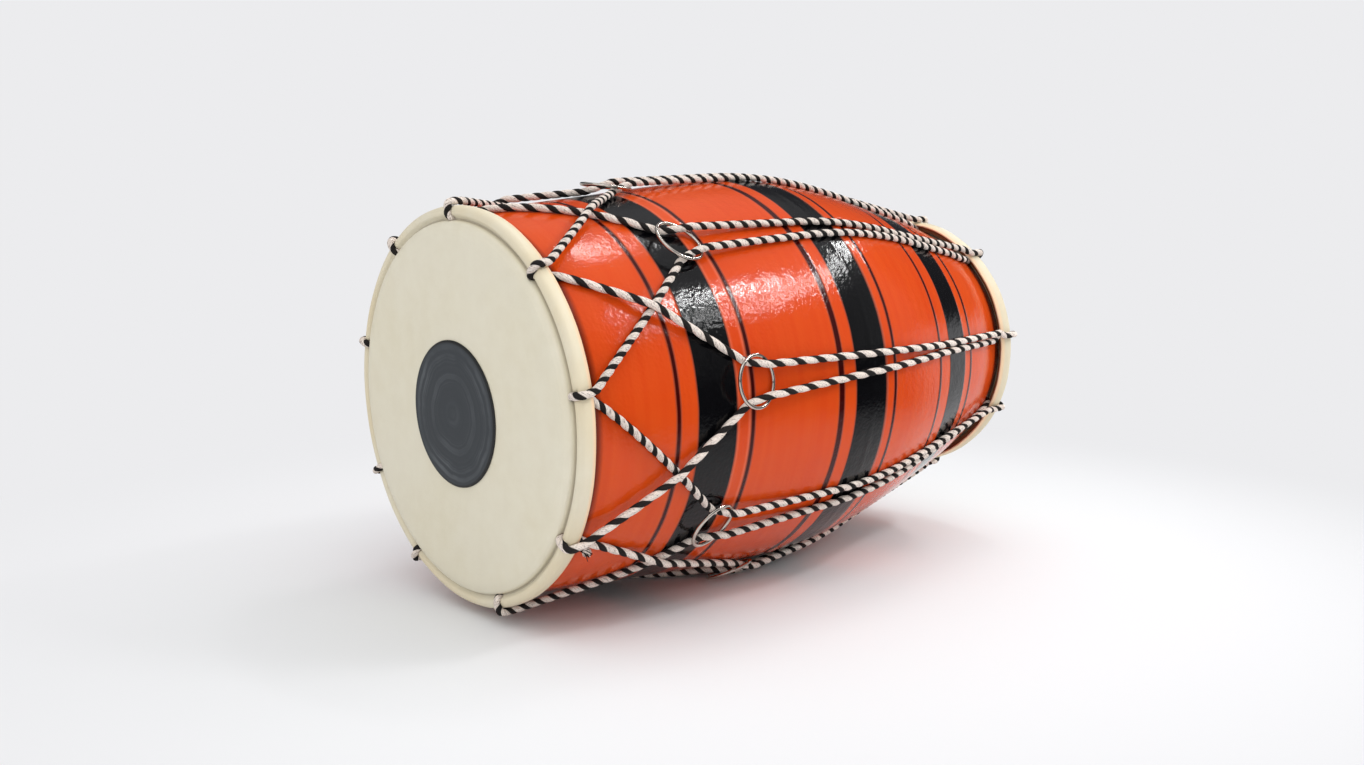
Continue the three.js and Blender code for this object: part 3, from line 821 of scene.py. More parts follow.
def lacquer(coat, look, drum):
    """Glossy orange-red lacquer with painted black bands and thin lines round the barrel."""
    length = drum.barrel.length
    place = coat.drum_place()
    along = coat.split(place)[0]
    brush = coat.clouds(place, scale=26, detail=2, spread=0.5)
    stray = coat.maths("MULTIPLY_ADD", brush, 2 * BRUSH_STRAY, -BRUSH_STRAY)
    share = coat.maths("DIVIDE", coat.maths("ADD", along, stray), length)

    def painted(spans, edge=0.0):
        shares = [((start - edge) * MM / length, (end + edge) * MM / length) for start, end in spans]
        return coat.within(share, shares, PAINT_SOFTNESS / length)

    bands, lines = painted(BAND_SPANS_MM), painted(LINE_SPANS_MM)
    rims = coat.maths("MAXIMUM", painted(BAND_SPANS_MM, BAND_EDGE_MM), painted(LINE_SPANS_MM, LINE_EDGE_MM))
    streaks = coat.clouds(coat.stretched(place, 160, 5, 5), detail=5, spread=0.3)
    pools = coat.clouds(place, scale=9, detail=3, spread=0.25)
    depth = coat.maths("MULTIPLY_ADD", streaks, 0.35, coat.maths("MULTIPLY", pools, 0.45))
    colour = coat.blend(depth, look.lacquer, look.lacquer_deep)
    colour = coat.blend(coat.maths("MULTIPLY", rims, 0.45), colour, look.hairline)
    colour = coat.blend(lines, colour, look.line)
    colour = coat.blend(bands, colour, look.band)
    # Painted shadow: the lacquer beside each hoop is darkened, fading out away from the hoop, in place of the
    # shade of the gap under the hoop
    from_front = coat.maths("SUBTRACT", along, drum.front.back)
    from_rear = coat.maths("SUBTRACT", length - drum.rear.back, along)
    for away, span, strength in ((from_front, FRONT_HOOP_SHADE_MM, 0.75), (from_rear, REAR_HOOP_SHADE_MM, 0.7)):
        colour = coat.blend(coat.over_mm(away, span, strength, 0), colour, look.hoop_gap_shade)
    coat.give("Base Color", colour)
    coat.give("Roughness", coat.ranged(pools, 0, 1, 0.07, 0.14))
    coat.give("Specular IOR Level", 0.26)
    paint = coat.maths("MULTIPLY", coat.maths("MAXIMUM", bands, lines), 0.6)
    peel = coat.grain(place, scale=110, ratio=4, fine_share=0.55)
    coat.bump(coat.maths("ADD", peel, paint), 0.26 * MM)


def bare_wood(wood, look, drum):
    """Bare turned wood inside the barrel."""
    rings = wood.clouds(wood.stretched(wood.drum_place(), 12, 90, 90), detail=6, spread=0.25)
    wood.give("Base Color", wood.blend(rings, look.wood, [v * 0.6 for v in look.wood]))
    wood.give("Roughness", 0.7)
    wood.bump(rings, 0.2 * MM)


def goatskin(skin, look, drum):
    """Cured goatskin: warm and pale clouds, painted shade in the groove, a warm hoop and a peach cut edge."""
    length = drum.barrel.length
    place = skin.drum_place()
    along = skin.split(place)[0]
    wide = skin.clouds(place, scale=14, detail=4, spread=0.22)
    small = skin.clouds(place, scale=70, detail=5, spread=0.3)
    colour = skin.blend(skin.maths("MULTIPLY", wide, 0.6), look.skin, look.skin_warm)
    colour = skin.blend(skin.maths("MULTIPLY", small, 0.45), colour, look.skin_pale)
    rim = skin.ranged(along, 0, length, drum.front.rim, drum.rear.rim)
    over_rim = skin.maths("SUBTRACT", skin.from_axis(place), rim)
    hoop = skin.over_mm(over_rim, HOOP_WARMTH_MM)
    handled = skin.maths("MULTIPLY", hoop, skin.ranged(wide, 0, 1, 0.15, 0.85))
    colour = skin.blend(handled, colour, look.hoop_warm)
    # Painted shade: a narrow dark ring on the skin at the rim's radius, only down in the groove and not on
    # the face, standing in for the groove's shade
    beside = skin.over_mm(skin.maths("ABSOLUTE", over_rim), GROOVE_SHADE_WIDTH_MM, 1, 0)
    inset = skin.maths("MINIMUM", along, skin.maths("SUBTRACT", length, along))
    groove_shade = skin.maths("MULTIPLY", beside, skin.over_mm(inset, GROOVE_SHADE_DEPTH_MM, 0, 0.45))
    colour = skin.blend(groove_shade, colour, look.groove)
    end = skin.ranged(along, 0, length, drum.front.back, drum.rear.back)
    peach = skin.over_mm(skin.maths("SUBTRACT", end, inset), CUT_EDGE_MM, 0.85, 0)
    skin.give("Base Color", skin.blend(peach, colour, look.raw_edge))
    skin.give("Roughness", skin.ranged(small, 0, 1, 0.48, 0.66))
    skin.bump(skin.grain(place, scale=420, ratio=4, fine_share=0.5), 0.12 * MM)


def skin_edge(edge, look, drum):
    """The cut edge of the skin."""
    tone = edge.clouds(edge.drum_place(), scale=180, detail=3, spread=0.3)
    edge.give("Base Color", edge.blend(tone, look.raw_edge, look.skin_pale))
    edge.give("Roughness", 0.75)
    edge.bump(tone, 0.2 * MM)


def tuning_paste(paste, look, drum):
    """Black tuning paste, rubbed in rings, darker at its edge."""
    heads = drum.heads
    centre = tuple(on_axis(0.0, heads.patch_offset, math.degrees(heads.patch_bearing)).tolist())
    inputs = {"Vector": paste.drum_place(), "Location": centre}
    spot = paste.add("ShaderNodeMapping", inputs, vector_type="TEXTURE").outputs[0]
    out = paste.from_axis(spot)
    swirl = paste.clouds(spot, scale=34, detail=3, spread=0.35)
    wandering = paste.maths("MULTIPLY_ADD", swirl, RUBBING_WANDER, out)
    inputs = {"W": wandering, "Scale": 170.0, "Detail": 3.0}
    rings = paste.add("ShaderNodeTexNoise", inputs, noise_dimensions="1D").outputs[0]
    worn = paste.ranged(out, *WORN_RADII, 0.35, 0.95)
    strokes = paste.ranged(rings, 0.46, 0.66, smooth=True)
    rubbed = paste.maths("MULTIPLY", paste.maths("MULTIPLY", strokes, swirl), worn)
    colour = paste.blend(rubbed, look.paste, look.paste_worn)
    rim = heads.patch_radius - heads.patch_chamfer
    colour = paste.blend(paste.ranged(out, rim - MM, rim, 0, 0.9), colour, look.paste_rim)
    paste.give("Base Color", colour)
    paste.give("Roughness", paste.ranged(rings, 0, 1, 0.55, 0.8))
    paste.bump(rings, 0.12 * MM)


def twisted_cotton(cotton, look, drum):
    """Two-coloured twisted cotton, laid along the rope by its own coordinates."""
    lay = cotton.add("ShaderNodeAttribute", attribute_name="lay").outputs["Vector"]
    across, rise, along = cotton.split(lay)
    drawn = cotton.stretched(lay, 6, 6, 220)
    fibres = cotton.noise(drawn, detail=4, roughness=0.65)
    turn = cotton.maths("DIVIDE", cotton.maths("ARCTAN2", rise, across), 2 * math.pi)
    fuzz = cotton.maths("MULTIPLY_ADD", fibres, 2 * YARN_FUZZ, -YARN_FUZZ)
    around = cotton.maths("FRACT", cotton.maths("ADD", turn, fuzz))
    share = drum.rope.dark_share
    stops = ((0.0, 0), (YARN_SEAM, 1), (share - YARN_SEAM, 1), (share, 0))
    in_dark = cotton.steps(around, stops)
    soil = cotton.clouds(drawn, scale=0.5, detail=3, spread=0.25)
    pale = cotton.blend(cotton.maths("MULTIPLY", soil, 0.6), look.yarn_pale, look.yarn_soiled)
    specks = cotton.noise(cotton.stretched(lay, 3.5, 3.5, 800), detail=2)
    pale = cotton.blend(cotton.ranged(specks, 0.55, 0.66, 0, 0.75), pale, look.fleck)
    dark = cotton.blend(cotton.maths("MULTIPLY", fibres, 0.03), look.yarn_dark, look.yarn_soiled)
    cotton.give("Base Color", cotton.blend(in_dark, pale, dark))
    cotton.give("Roughness", 0.9)
    cotton.give("Specular IOR Level", 0.2)
    plies = cotton.maths("MULTIPLY_ADD", turn, 2 * math.pi * PLIES, cotton.maths("MULTIPLY", along, PLY_TURN))
    cotton.bump(cotton.maths("MULTIPLY_ADD", cotton.maths("SINE", plies), 0.25, fibres), 0.5 * MM)


def ring_steel(steel, look, drum):
    """Drawn steel wire with fine handling marks."""
    place = steel.drum_place()
    marks = steel.clouds(place, scale=260, detail=5, spread=0.3)
    steel.give("Base Color", steel.blend(marks, look.steel, [v * 0.72 for v in look.steel]))
    steel.give("Metallic", 1.0)
    steel.give("Roughness", steel.ranged(marks, 0, 1, 0.1, 0.24))
    steel.bump(steel.grain(place, scale=900, ratio=3, fine_share=0.4), 0.02 * MM)


def hoop_cane(cane, look, drum):
    """Split cane bound into a hoop."""
    fibres = cane.clouds(cane.stretched(cane.drum_place(), 500, 40, 40), detail=4, spread=0.3)
    cane.give("Base Color", cane.blend(fibres, look.cane, [min(v * 1.4, 1) for v in look.cane]))
    cane.give("Roughness", 0.6)
    cane.bump(fibres, 0.3 * MM)


FINISH_MAKERS = {
    "Painted lacquer": lacquer,
    "Bare wood": bare_wood,
    "Goatskin": goatskin,
    "Skin edge": skin_edge,
    "Tuning paste": tuning_paste,
    "Twisted cotton": twisted_cotton,
    "Ring steel": ring_steel,
    "Hoop cane": hoop_cane,
}


def finish(name):
    """A material of the drum, made the first time that it is asked for."""
    found = bpy.data.materials.get(name)
    if found:
        return found
    scene, made = bpy.context.scene, Finish(name)
    FINISH_MAKERS[name](made, scene.dholak_finishes, Drum(scene))
    return made.material


# The rope's own tree

ROPE_INPUTS = {
    "Geometry": "NodeSocketGeometry", "Rope radius": "NodeSocketFloat", "Groove": "NodeSocketFloat",
    "Dark share": "NodeSocketFloat", "Section step": "NodeSocketFloat", "Corners": "NodeSocketInt",
    "Material": "NodeSocketMaterial",
}


def rope_tree():
    """A two-yarn rope swept along a chain of edges whose points carry their own twist."""
    found = bpy.data.node_groups.get("Twisted rope")
    if found:
        return found
    tree = bpy.data.node_groups.new("Twisted rope", "GeometryNodeTree")
    for label, kind in ROPE_INPUTS.items():
        tree.interface.new_socket(name=label, in_out="INPUT", socket_type=kind)
    tree.interface.new_socket(name="Geometry", in_out="OUTPUT", socket_type="NodeSocketGeometry")
    given, out = tree.nodes.new("NodeGroupInput").outputs, tree.nodes.new("NodeGroupOutput")
    nodes = Nodes(tree)
    add, maths = nodes.add, nodes.maths

    def store(geometry, name, value):
        inputs = {"Geometry": geometry, "Name": name}
        node = add("GeometryNodeStoreNamedAttribute", inputs, data_type="FLOAT")
        tree.links.new(value, next(s for s in node.inputs if s.name == "Value" and s.enabled))
        return node.outputs[0]

    twist = add("GeometryNodeInputNamedAttribute", {"Name": "twist"}, data_type="FLOAT")
    tilt = next(s for s in twist.outputs if s.enabled)
    line = add("GeometryNodeMeshToCurve", {0: given["Geometry"]}).outputs[0]
    inputs = {"Curve": line, "Length": given["Section step"]}
    sections = add("GeometryNodeResampleCurve", inputs, mode="LENGTH").outputs[0]
    sections = add("GeometryNodeSetCurveTilt", {"Curve": sections, "Tilt": tilt}).outputs[0]
    index = add("GeometryNodeInputIndex").outputs[0]
    sections = store(sections, "rope_section", index)
    sections = store(sections, "rope_along", add("GeometryNodeSplineParameter").outputs["Length"])

    inputs = {"Resolution": given["Corners"], "Radius": 1.0}
    circle = add("GeometryNodeCurvePrimitiveCircle", inputs).outputs[0]
    around = maths("DIVIDE", index, given["Corners"])
    circle = store(circle, "rope_turn", around)
    share = given["Dark share"]
    in_dark = maths("LESS_THAN", around, share)
    dark_place = maths("DIVIDE", around, share)
    pale_place = maths("DIVIDE", maths("SUBTRACT", around, share), maths("SUBTRACT", 1.0, share))
    spot = add("ShaderNodeMix", {0: in_dark, 2: pale_place, 3: dark_place}, data_type="FLOAT").outputs[0]
    off_middle = maths("ABSOLUTE", maths("MULTIPLY_ADD", spot, 2.0, -1.0))
    dip = maths("MULTIPLY", maths("POWER", off_middle, GROOVE_SHARPNESS), given["Groove"])
    reach = maths("MULTIPLY", maths("SUBTRACT", 1.0, dip), given["Rope radius"])
    position = add("GeometryNodeInputPosition").outputs[0]
    moved = add("ShaderNodeVectorMath", {0: position, "Scale": reach}, operation="SCALE").outputs[0]
    girth = add("GeometryNodeSetPosition", {"Geometry": circle, "Position": moved}).outputs[0]

    inputs = {"Curve": sections, "Profile Curve": girth, "Fill Caps": True}
    swept = add("GeometryNodeCurveToMesh", inputs).outputs[0]
    real = add("GeometryNodeRealizeInstances", {0: swept}).outputs[0]
    inputs = {"Geometry": real, "Material": given["Material"]}
    tree.links.new(add("GeometryNodeSetMaterial", inputs).outputs[0], out.inputs[0])
    return tree


def set_inputs(modifier, values):
    """Sets a geometry modifier's inputs by the names that its tree gives them."""
    for item in modifier.node_group.interface.items_tree:
        if item.item_type == "SOCKET" and item.in_out == "INPUT" and item.name in values:
            modifier[item.identifier] = values[item.name]


def swept_rope(name, points, twist, rope, radius, groove, material):
    """The rope's tree run on a line of points."""
    mesh = bpy.data.meshes.new(name)
    mesh.from_pydata(np.asarray(points).tolist(), [(i, i + 1) for i in range(len(points) - 1)], [])
    mesh.attributes.new("twist", "FLOAT", "POINT").data.foreach_set("value", np.asarray(twist, np.float32))
    made = linked(name, mesh)
    modifier = made.modifiers.new("rope", "NODES")
    modifier.node_group = rope_tree()
    set_inputs(modifier, {
        "Rope radius": radius, "Groove": groove, "Dark share": rope.dark_share,
        "Section step": rope.step, "Corners": rope.corners, "Material": material,
    })
    return plain_mesh(made)


def whole_rope(drum):
    """Every length of rope in lacing order: its points, their twist, and the piece that each belongs to."""
    legs = []
    k = 0
    for _ in range(LOOPS):
        over, turn, under = drum.front_lace(k)
        half = len(turn) // 2
        legs.append((f"front_rope_{k + 1}_over", np.vstack([over, turn[:half]]), OVER_LAY_MM[k]))
        legs.append((f"front_rope_{k + 1}_under", np.vstack([turn[half:], under]), UNDER_LAY_MM[k]))
        k = (k - 1) % LOOPS
        legs.append((f"rear_rope_{k + 1}", np.vstack(drum.rear_lace(k)), REAR_LAY_MM[k]))
        k = (k - 1) % LOOPS
    points, lays, owners = [], [], []
    for number, (name, leg, lay) in enumerate(legs):
        shares_start = number > 0 and not name.endswith("under")
        points.append(leg[1:] if shares_start else leg)
        lays += [lay * MM] * len(points[-1])
        owners += [number] * len(points[-1])
    smooth = through(np.vstack(points), ROUTE_STEPS)
    lays = np.repeat(lays, ROUTE_STEPS)[: len(smooth)]
    owners = np.repeat(owners, ROUTE_STEPS)[: len(smooth)]
    gaps = np.linalg.norm(np.diff(smooth, axis=0), axis=1)
    twist = np.concatenate([[0], np.cumsum(2 * math.pi * gaps / lays[: len(gaps)])])
    return [leg[0] for leg in legs], smooth, twist, owners


def strand_pieces(drum, material):
    """The whole rope as one swept mesh, cut into pieces, one for each length of the lacing."""
    names, points, twist, owners = whole_rope(drum)
    run = np.concatenate([[0], np.cumsum(np.linalg.norm(np.diff(points, axis=0), axis=1))])
    rope, corners = drum.rope, drum.rope.corners
    swept = swept_rope("whole_rope", placed(points), twist, rope, rope.radius, rope.groove, material)
    mesh = swept.data
    count = len(mesh.vertices)
    places = np.empty(count * 3)
    mesh.vertices.foreach_get("co", places)
    values = {}
    for name in ("rope_section", "rope_turn", "rope_along"):
        values[name] = np.empty(count, np.float32)
        mesh.attributes[name].data.foreach_get("value", values[name])
    order = np.lexsort((np.round(values["rope_turn"] * corners), np.round(values["rope_section"])))
    grid = places.reshape(-1, 3)[order].reshape(-1, corners, 3)
    along = values["rope_along"][order].reshape(-1, corners)
    angle = values["rope_turn"][order].reshape(-1, corners) * 2 * math.pi
    lay = np.stack([np.cos(angle), np.sin(angle), along], -1)
    bpy.data.objects.remove(swept)
    starts = [run[np.flatnonzero(owners == number)[0]] for number in range(len(names))]
    cuts = [0, *(int(i) for i in np.searchsorted(along[:, 0], starts[1:])), len(grid) - 1]
    made = {}
    for name, first, last in zip(names, cuts, cuts[1:]):
        made[name] = laid(name, grid[first : last + 1], lay[first : last + 1], material)
    return made


def laid(name, grid, lay, material):
    """A closed tube from rings of points, with the rope's coordinates on its points."""
    return with_lay(piece(name, grid.reshape(-1, 3), grid_faces(*grid.shape[:2]), material), lay)


def with_lay(made, lay):
    """Puts the rope's coordinates on a piece's points, and turns its faces outwards."""
    attribute = made.data.attributes.new("lay", "FLOAT_VECTOR", "POINT")
    attribute.data.foreach_set("vector", np.asarray(lay).reshape(-1).astype(np.float32))
    return facing_out(made)


# Operators


class DHOLAK_OT_shell(bpy.types.Operator):
    """Turn the lacquered wooden barrel"""

    bl_idname = "dholak.shell"
    bl_label = "Wooden shell"

    def execute(self, context):
        drum = Drum(context.scene)
        barrel, heads = drum.barrel, drum.heads
        gap = heads.skin + barrel.clearance

        def mouth(head):
            line = moved_in([(0, 0), *head.line(heads)], gap)[1 : len(RIM_SHARES) + 1]
            return [(head.place(x), r) for x, r in line]

        front, rear = mouth(drum.front), mouth(drum.rear)
        x = np.linspace(drum.stations[0], drum.stations[-1], BARREL_STEPS)
        radius = drum.radius(x)
        radius += barrel.ridge_height * np.exp(-(((x - barrel.ridge_station) / RIDGE_WIDTH) ** 2))
        bore_x = np.linspace(barrel.length - heads.rear_back, heads.front_back, BORE_STEPS)
        outline = [
            *front, *zip(x, radius), *rear[::-1], (rear[0][0], rear[0][1] - barrel.mouth_land),
            *zip(bore_x, drum.radius(bore_x) - barrel.wall), (front[0][0], front[0][1] - barrel.mouth_land),
        ]
        vertices, faces = turned(outline, BARREL_SIDES)
        along, across, up = vertices.T
        angle, out = np.arctan2(up, across), np.hypot(across, up)
        belly = np.sin(np.clip((along - WAVER_START) / WAVER_LENGTH, 0, 1) * math.pi)
        waver = sum(np.sin(count * angle + rate * along + phase) for count, rate, phase in WAVES)
        change = 1 - barrel.waver * belly * (waver + 2) / 4 / out
        inner = out < drum.radius(along) - barrel.wall / 2
        vertices[:, 1:] *= change[:, None]
        made = piece("barrel", placed(vertices), faces, finish("Painted lacquer"), finish("Bare wood"))
        facing_out(made)
        for face in made.data.polygons:
            if inner[list(face.vertices)].all():
                face.material_index = 1
        stands_for(made, "drum", "wooden_shell")
        return {"FINISHED"}


class DHOLAK_OT_heads(bpy.types.Operator):
    """Stretch the two skins over their hoops"""

    bl_idname = "dholak.heads"
    bl_label = "Skin heads"

    def execute(self, context):
        drum = Drum(context.scene)
        self.skin(drum, "large_head", "front_head_skin", drum.front, FRONT_LOOP_DEGREES)
        self.skin(drum, "small_head", "rear_head_skin", drum.rear, REAR_LOOP_DEGREES)
        for node in ("front_hoop", "rear_hoop"):
            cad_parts[node].data.materials[0] = finish("Hoop cane")
        return {"FINISHED"}

    def skin(self, drum, name, node, head, degrees):
        heads = drum.heads
        line = head.line(heads)
        outer = through(line, OUTER_STEPS)
        inner = through(moved_in([(0, 0), *line], heads.skin)[1:], INNER_STEPS)
        outline = [(0, r) for r in np.linspace(0, outer[0][1], FACE_STEPS, endpoint=False)]
        outline += [*outer, *inner[::-1]]
        outline += [(heads.skin, r) for r in np.linspace(inner[0][1], 0, INNER_FACE_STEPS)[1:]]
        vertices, faces = turned([(head.place(x), r) for x, r in outline], HEAD_SIDES)
        out = np.hypot(vertices[:, 1], vertices[:, 2])
        angle = np.degrees(np.arctan2(vertices[:, 2], vertices[:, 1]))
        onto = np.clip((out - head.rim) / head.rise * 2, 0, 1)
        waver = sum(high * np.sin(np.radians(count * angle + phase)) for high, count, phase in HOOP_WAVES)
        change = waver * MM * onto
        for bearing in degrees:
            away = np.radians(swing(angle, bearing)) * head.hoop
            change = change - LOOP_DENT * onto * np.exp(-((away / LOOP_DENT_WIDTH) ** 2))
        vertices[:, 1:] *= np.where(out > 0, 1 + change / np.maximum(out, MM), 1)[:, None]
        made = facing_out(piece(name, placed(vertices), faces, finish("Goatskin"), finish("Skin edge")))
        edge = head.place(head.back)
        inside = head.hoop - heads.raw_drop - 2 * heads.skin
        for face in made.data.polygons:
            spots = vertices[list(face.vertices)]
            radii = np.hypot(spots[:, 1], spots[:, 2])
            at_end = (np.abs(spots[:, 0] - edge) < CUT_EDGE_DEPTH).all() and (radii > inside).all()
            face.material_index = int(at_end and np.ptp(radii) > heads.skin / 2)
        pierced(made, [self.hole(drum, head, bearing) for bearing in degrees])
        stands_for(made, "drum", node)

    def hole(self, drum, head, bearing):
        """A cutter where the rope goes round a hoop and through its skin."""
        rope = drum.rope
        back = head.place(head.back + 2 * rope.radius)
        low = float(drum.radius(head.place(rope.turn))) + drum.lift
        path = np.vstack([
            on_axis(back, head.hoop + drum.lift, bearing),
            drum.hoop_turn(head, bearing),
            on_axis(back, low, bearing),
        ])
        width = rope.radius + rope.hole
        return swept_rope("hole", placed(path), np.zeros(len(path)), rope, width, 0.0, finish("Goatskin"))


class DHOLAK_OT_patch(bpy.types.Operator):
    """Spread the tuning paste on the larger head"""

    bl_idname = "dholak.patch"
    bl_label = "Tuning patch"

    def execute(self, context):
        drum = Drum(context.scene)
        heads, lie = drum.heads, -drum.barrel.clearance
        top = lie - heads.patch_thickness
        edge = heads.patch_radius - heads.patch_chamfer
        (foot, foot_in), (bend, bend_out) = PATCH_FOOT_MM, PATCH_BEND_MM
        slope = [(lie, heads.patch_radius), (lie - foot * MM, heads.patch_radius - foot_in * MM)]
        slope += [(top + bend * MM, edge + bend_out * MM), (top, edge - PATCH_LIP_MM * MM)]
        radii = np.linspace(edge - PATCH_CROWN_MM * MM, 0, PATCH_STEPS)
        crown = [(top + PATCH_RIPPLE * math.sin(r * RIPPLE_RATE), r) for r in radii]
        vertices, faces = turned([(lie, 0), *through(slope, PATCH_EDGE_STEPS), *crown], PATCH_SIDES)
        vertices += on_axis(0.0, heads.patch_offset, math.degrees(heads.patch_bearing))
        made = facing_out(piece("paste_patch", placed(vertices), faces, finish("Tuning paste")))
        stands_for(made, "drum", "tuning_patch")
        return {"FINISHED"}


class DHOLAK_OT_rings(bpy.types.Operator):
    """Bend and weld the nine sliding rings"""

    bl_idname = "dholak.rings"
    bl_label = "Steel rings"

    def execute(self, context):
        drum = Drum(context.scene)
        for k in range(LOOPS):
            vertices = placed(self.bent(drum, k).reshape(-1, 3))
            faces = grid_faces(RING_STEPS, WIRE_SIDES, closed=True)
            made = facing_out(piece(f"ring_{k + 1}", vertices, faces, finish("Ring steel")))
            body = f"tuning_ring_{k + 1}"
            stands_for(made, body, body)
        return {"FINISHED"}

    def bent(self, drum, k):
        """The points of ring k, which leans on the wood behind and stands over its strands in front."""
        rope, bearing = drum.rope, RING_DEGREES[k]
        around = np.radians(np.arange(RING_STEPS) * 360 / RING_STEPS)
        girth = np.radians(np.arange(WIRE_SIDES) * 360 / WIRE_SIDES)
        ahead = drum.on_shell(drum.rings[k] + rope.ring_radius, bearing, 0, 0)
        behind = drum.on_shell(drum.rings[k] - rope.ring_radius, bearing, 0, 0)
        along = Vector(ahead - behind).normalized()
        across = Vector(on_axis(0.0, 1.0, bearing)).cross(along).normalized()
        turn = Matrix((along, across, along.cross(across))).transposed()
        turn = turn @ Matrix.Rotation(math.atan(drum.slope), 3, "Y")
        off_weld = (around - math.radians(WELD_BEARING + WELD_TURN * k) + math.pi) % (2 * math.pi) - math.pi
        weld = 1 + rope.weld * np.exp(-((off_weld / WELD_WIDTH) ** 2))
        half_wire = (rope.ring_wire / 2 * weld)[:, None]
        out = rope.ring_radius + half_wire * np.cos(girth)
        grid = np.stack([
            out * np.cos(around)[:, None], out * np.sin(around)[:, None], half_wire * np.sin(girth)
        ], -1)
        return grid @ np.array(turn).T + drum.on_shell(drum.rings[k], bearing, 0, drum.ring_height)


class DHOLAK_OT_lacing(bpy.types.Operator):
    """Lace the twisted rope from hoop to hoop through the rings"""

    bl_idname = "dholak.lacing"
    bl_label = "Rope lacing"

    def execute(self, context):
        drum = Drum(context.scene)
        made = strand_pieces(drum, finish("Twisted cotton"))
        for k in range(LOOPS):
            for step, side in ((1, "over"), (-1, "under")):
                start, end, rate = drum.front_strand(k, step)
                stations = np.array([drum.crossing(k, step) + FRONT_HOLD, end])
                bearings = FRONT_LOOP_DEGREES[k] + rate * (stations - start)
                ring, strand = (k + step) % LOOPS, made[f"front_rope_{k + 1}_{side}"]
                self.hold(drum, strand, f"front_lace_{k + 1}", ring, stations, bearings)
            leave = drum.rings[k] + drum.exit_reach + drum.rope.ring_wire
            edge = drum.barrel.length - drum.heads.rear_back - REAR_HOLD
            stations, bearings = np.array([edge, leave]), np.array([REAR_LOOP_DEGREES[k], RING_DEGREES[k]])
            self.hold(drum, made[f"rear_rope_{k + 1}"], f"rear_lace_{k + 1}", k, stations, bearings)
        return {"FINISHED"}

    def hold(self, drum, strand, node, ring, stations, bearings):
        """Bakes a strand's place into its mesh and hides its solid."""
        start, end = placed(drum.on_shell(stations, bearings, 0, drum.lift))
        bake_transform(strand)
        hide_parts(node)


class DHOLAK_OT_tail(bpy.types.Operator):
    """Fray the rope's loose end"""

    bl_idname = "dholak.tail"
    bl_label = "Loose end"

    def execute(self, context):
        drum = Drum(context.scene)
        rope, k = drum.rope, LOOPS - 1
        start, _, rate = drum.front_strand(k, -1)
        side = (SOLID_ROPE + rope.tail_radius + MM) * math.sqrt(2)
        stations = rope.tail_station + np.array([0, rope.tail_reach])
        bearings = FRONT_LOOP_DEGREES[k] + rate * (stations - start)
        root, tip = drum.on_shell(stations, bearings, side, rope.tail_radius + rope.seat)
        along = (tip - root) / np.linalg.norm(tip - root)
        out = on_axis(0.0, 1.0, bearings[0])
        across, down = np.cross(out, along), np.array((0, 0, -1.0))
        draw = np.random.default_rng(5)
        share = np.linspace(0, 1, YARN_STEPS)[:, None]
        corners = np.radians(np.arange(YARN_SIDES) * 360 / YARN_SIDES)[None, :, None]
        ring = np.cos(corners) * across + np.sin(corners) * out
        points = YARN_STEPS * YARN_SIDES
        vertices, faces, lay = [], [], []
        for number in range(FRAYED_YARNS):
            angle, spread = draw.uniform(0, 2 * math.pi), math.sqrt(draw.uniform(0.02, 1))
            fan = spread * (math.cos(angle) * across + math.sin(angle) * out)
            reach = rope.tail_reach * draw.uniform(*YARN_REACH)
            flare, sag = draw.uniform(*YARN_FLARE) * MM, YARN_SAG * MM * draw.uniform(0, 1) ** 3
            curl, phase = draw.uniform(*YARN_CURL) * MM, draw.uniform(0, 6)
            path = root + fan * (rope.tail_radius * 0.75 + flare * share**2) + along * reach * share
            path = path + down * sag * share**2 + out * curl * np.sin(phase + 5 * share) * share
            thick = draw.uniform(*YARN_THICKNESS) * MM * (1 - 0.35 * share)
            height = np.hypot(path[:, 1], path[:, 2])
            floor = drum.radius(path[:, 0]) + thick[:, 0]
            path[:, 1:] *= (np.maximum(height, floor) / height)[:, None]
            vertices.append((path[:, None] + ring * thick[:, None]).reshape(-1, 3))
            faces += grid_faces(YARN_STEPS, YARN_SIDES, first=number * points)
            yarn = 1.9 if number % 5 < 2 else 0.5
            turn = np.full(points, rope.dark_share * 2 * math.pi * yarn)
            lengthwise = np.repeat(share[:, 0] * reach + number * MM, YARN_SIDES)
            lay.append(np.stack([np.cos(turn), np.sin(turn), lengthwise], -1))
        made = piece("rope_end", placed(np.vstack(vertices)), faces, finish("Twisted cotton"))
        with_lay(made, np.vstack(lay))
        stands_for(made, "drum", "rope_tail")
        return {"FINISHED"}


def seen_directly(nodes):
    """1 for the rays that show a surface as it is: the camera's, and those by mirrors and glass."""
    path = nodes.add("ShaderNodeLightPath").outputs
    mirrored = nodes.maths("MAXIMUM", path["Is Camera Ray"], path["Is Glossy Ray"])
    return nodes.maths("MAXIMUM", mirrored, path["Is Transmission Ray"])


def room_tone(nodes, settings):
    """The backdrop's colour; mirrored rays also find the darker walls and the end of the sheet in front."""
    place = nodes.add("ShaderNodeNewGeometry").outputs["Position"]
    direction = nodes.vector("NORMALIZE", place)
    height = nodes.split(direction)[2]
    walls = nodes.ranged(height, *WALLS_START, smooth=True)
    toward = nodes.vector("DOT_PRODUCT", direction, SHEET_END)
    front = nodes.ranged(toward, *SHEET_END_NEAR, smooth=True)
    overhead = nodes.ranged(height, *CEILING_START, 0, CEILING_SHARE)
    dim = nodes.maths("SUBTRACT", nodes.maths("MAXIMUM", walls, front), overhead)
    mirrored = nodes.add("ShaderNodeLightPath").outputs["Is Glossy Ray"]
    dim = nodes.maths("MULTIPLY", nodes.maths("MAXIMUM", dim, 0.0), mirrored)
    return nodes.blend(dim, settings.backdrop, settings.walls)


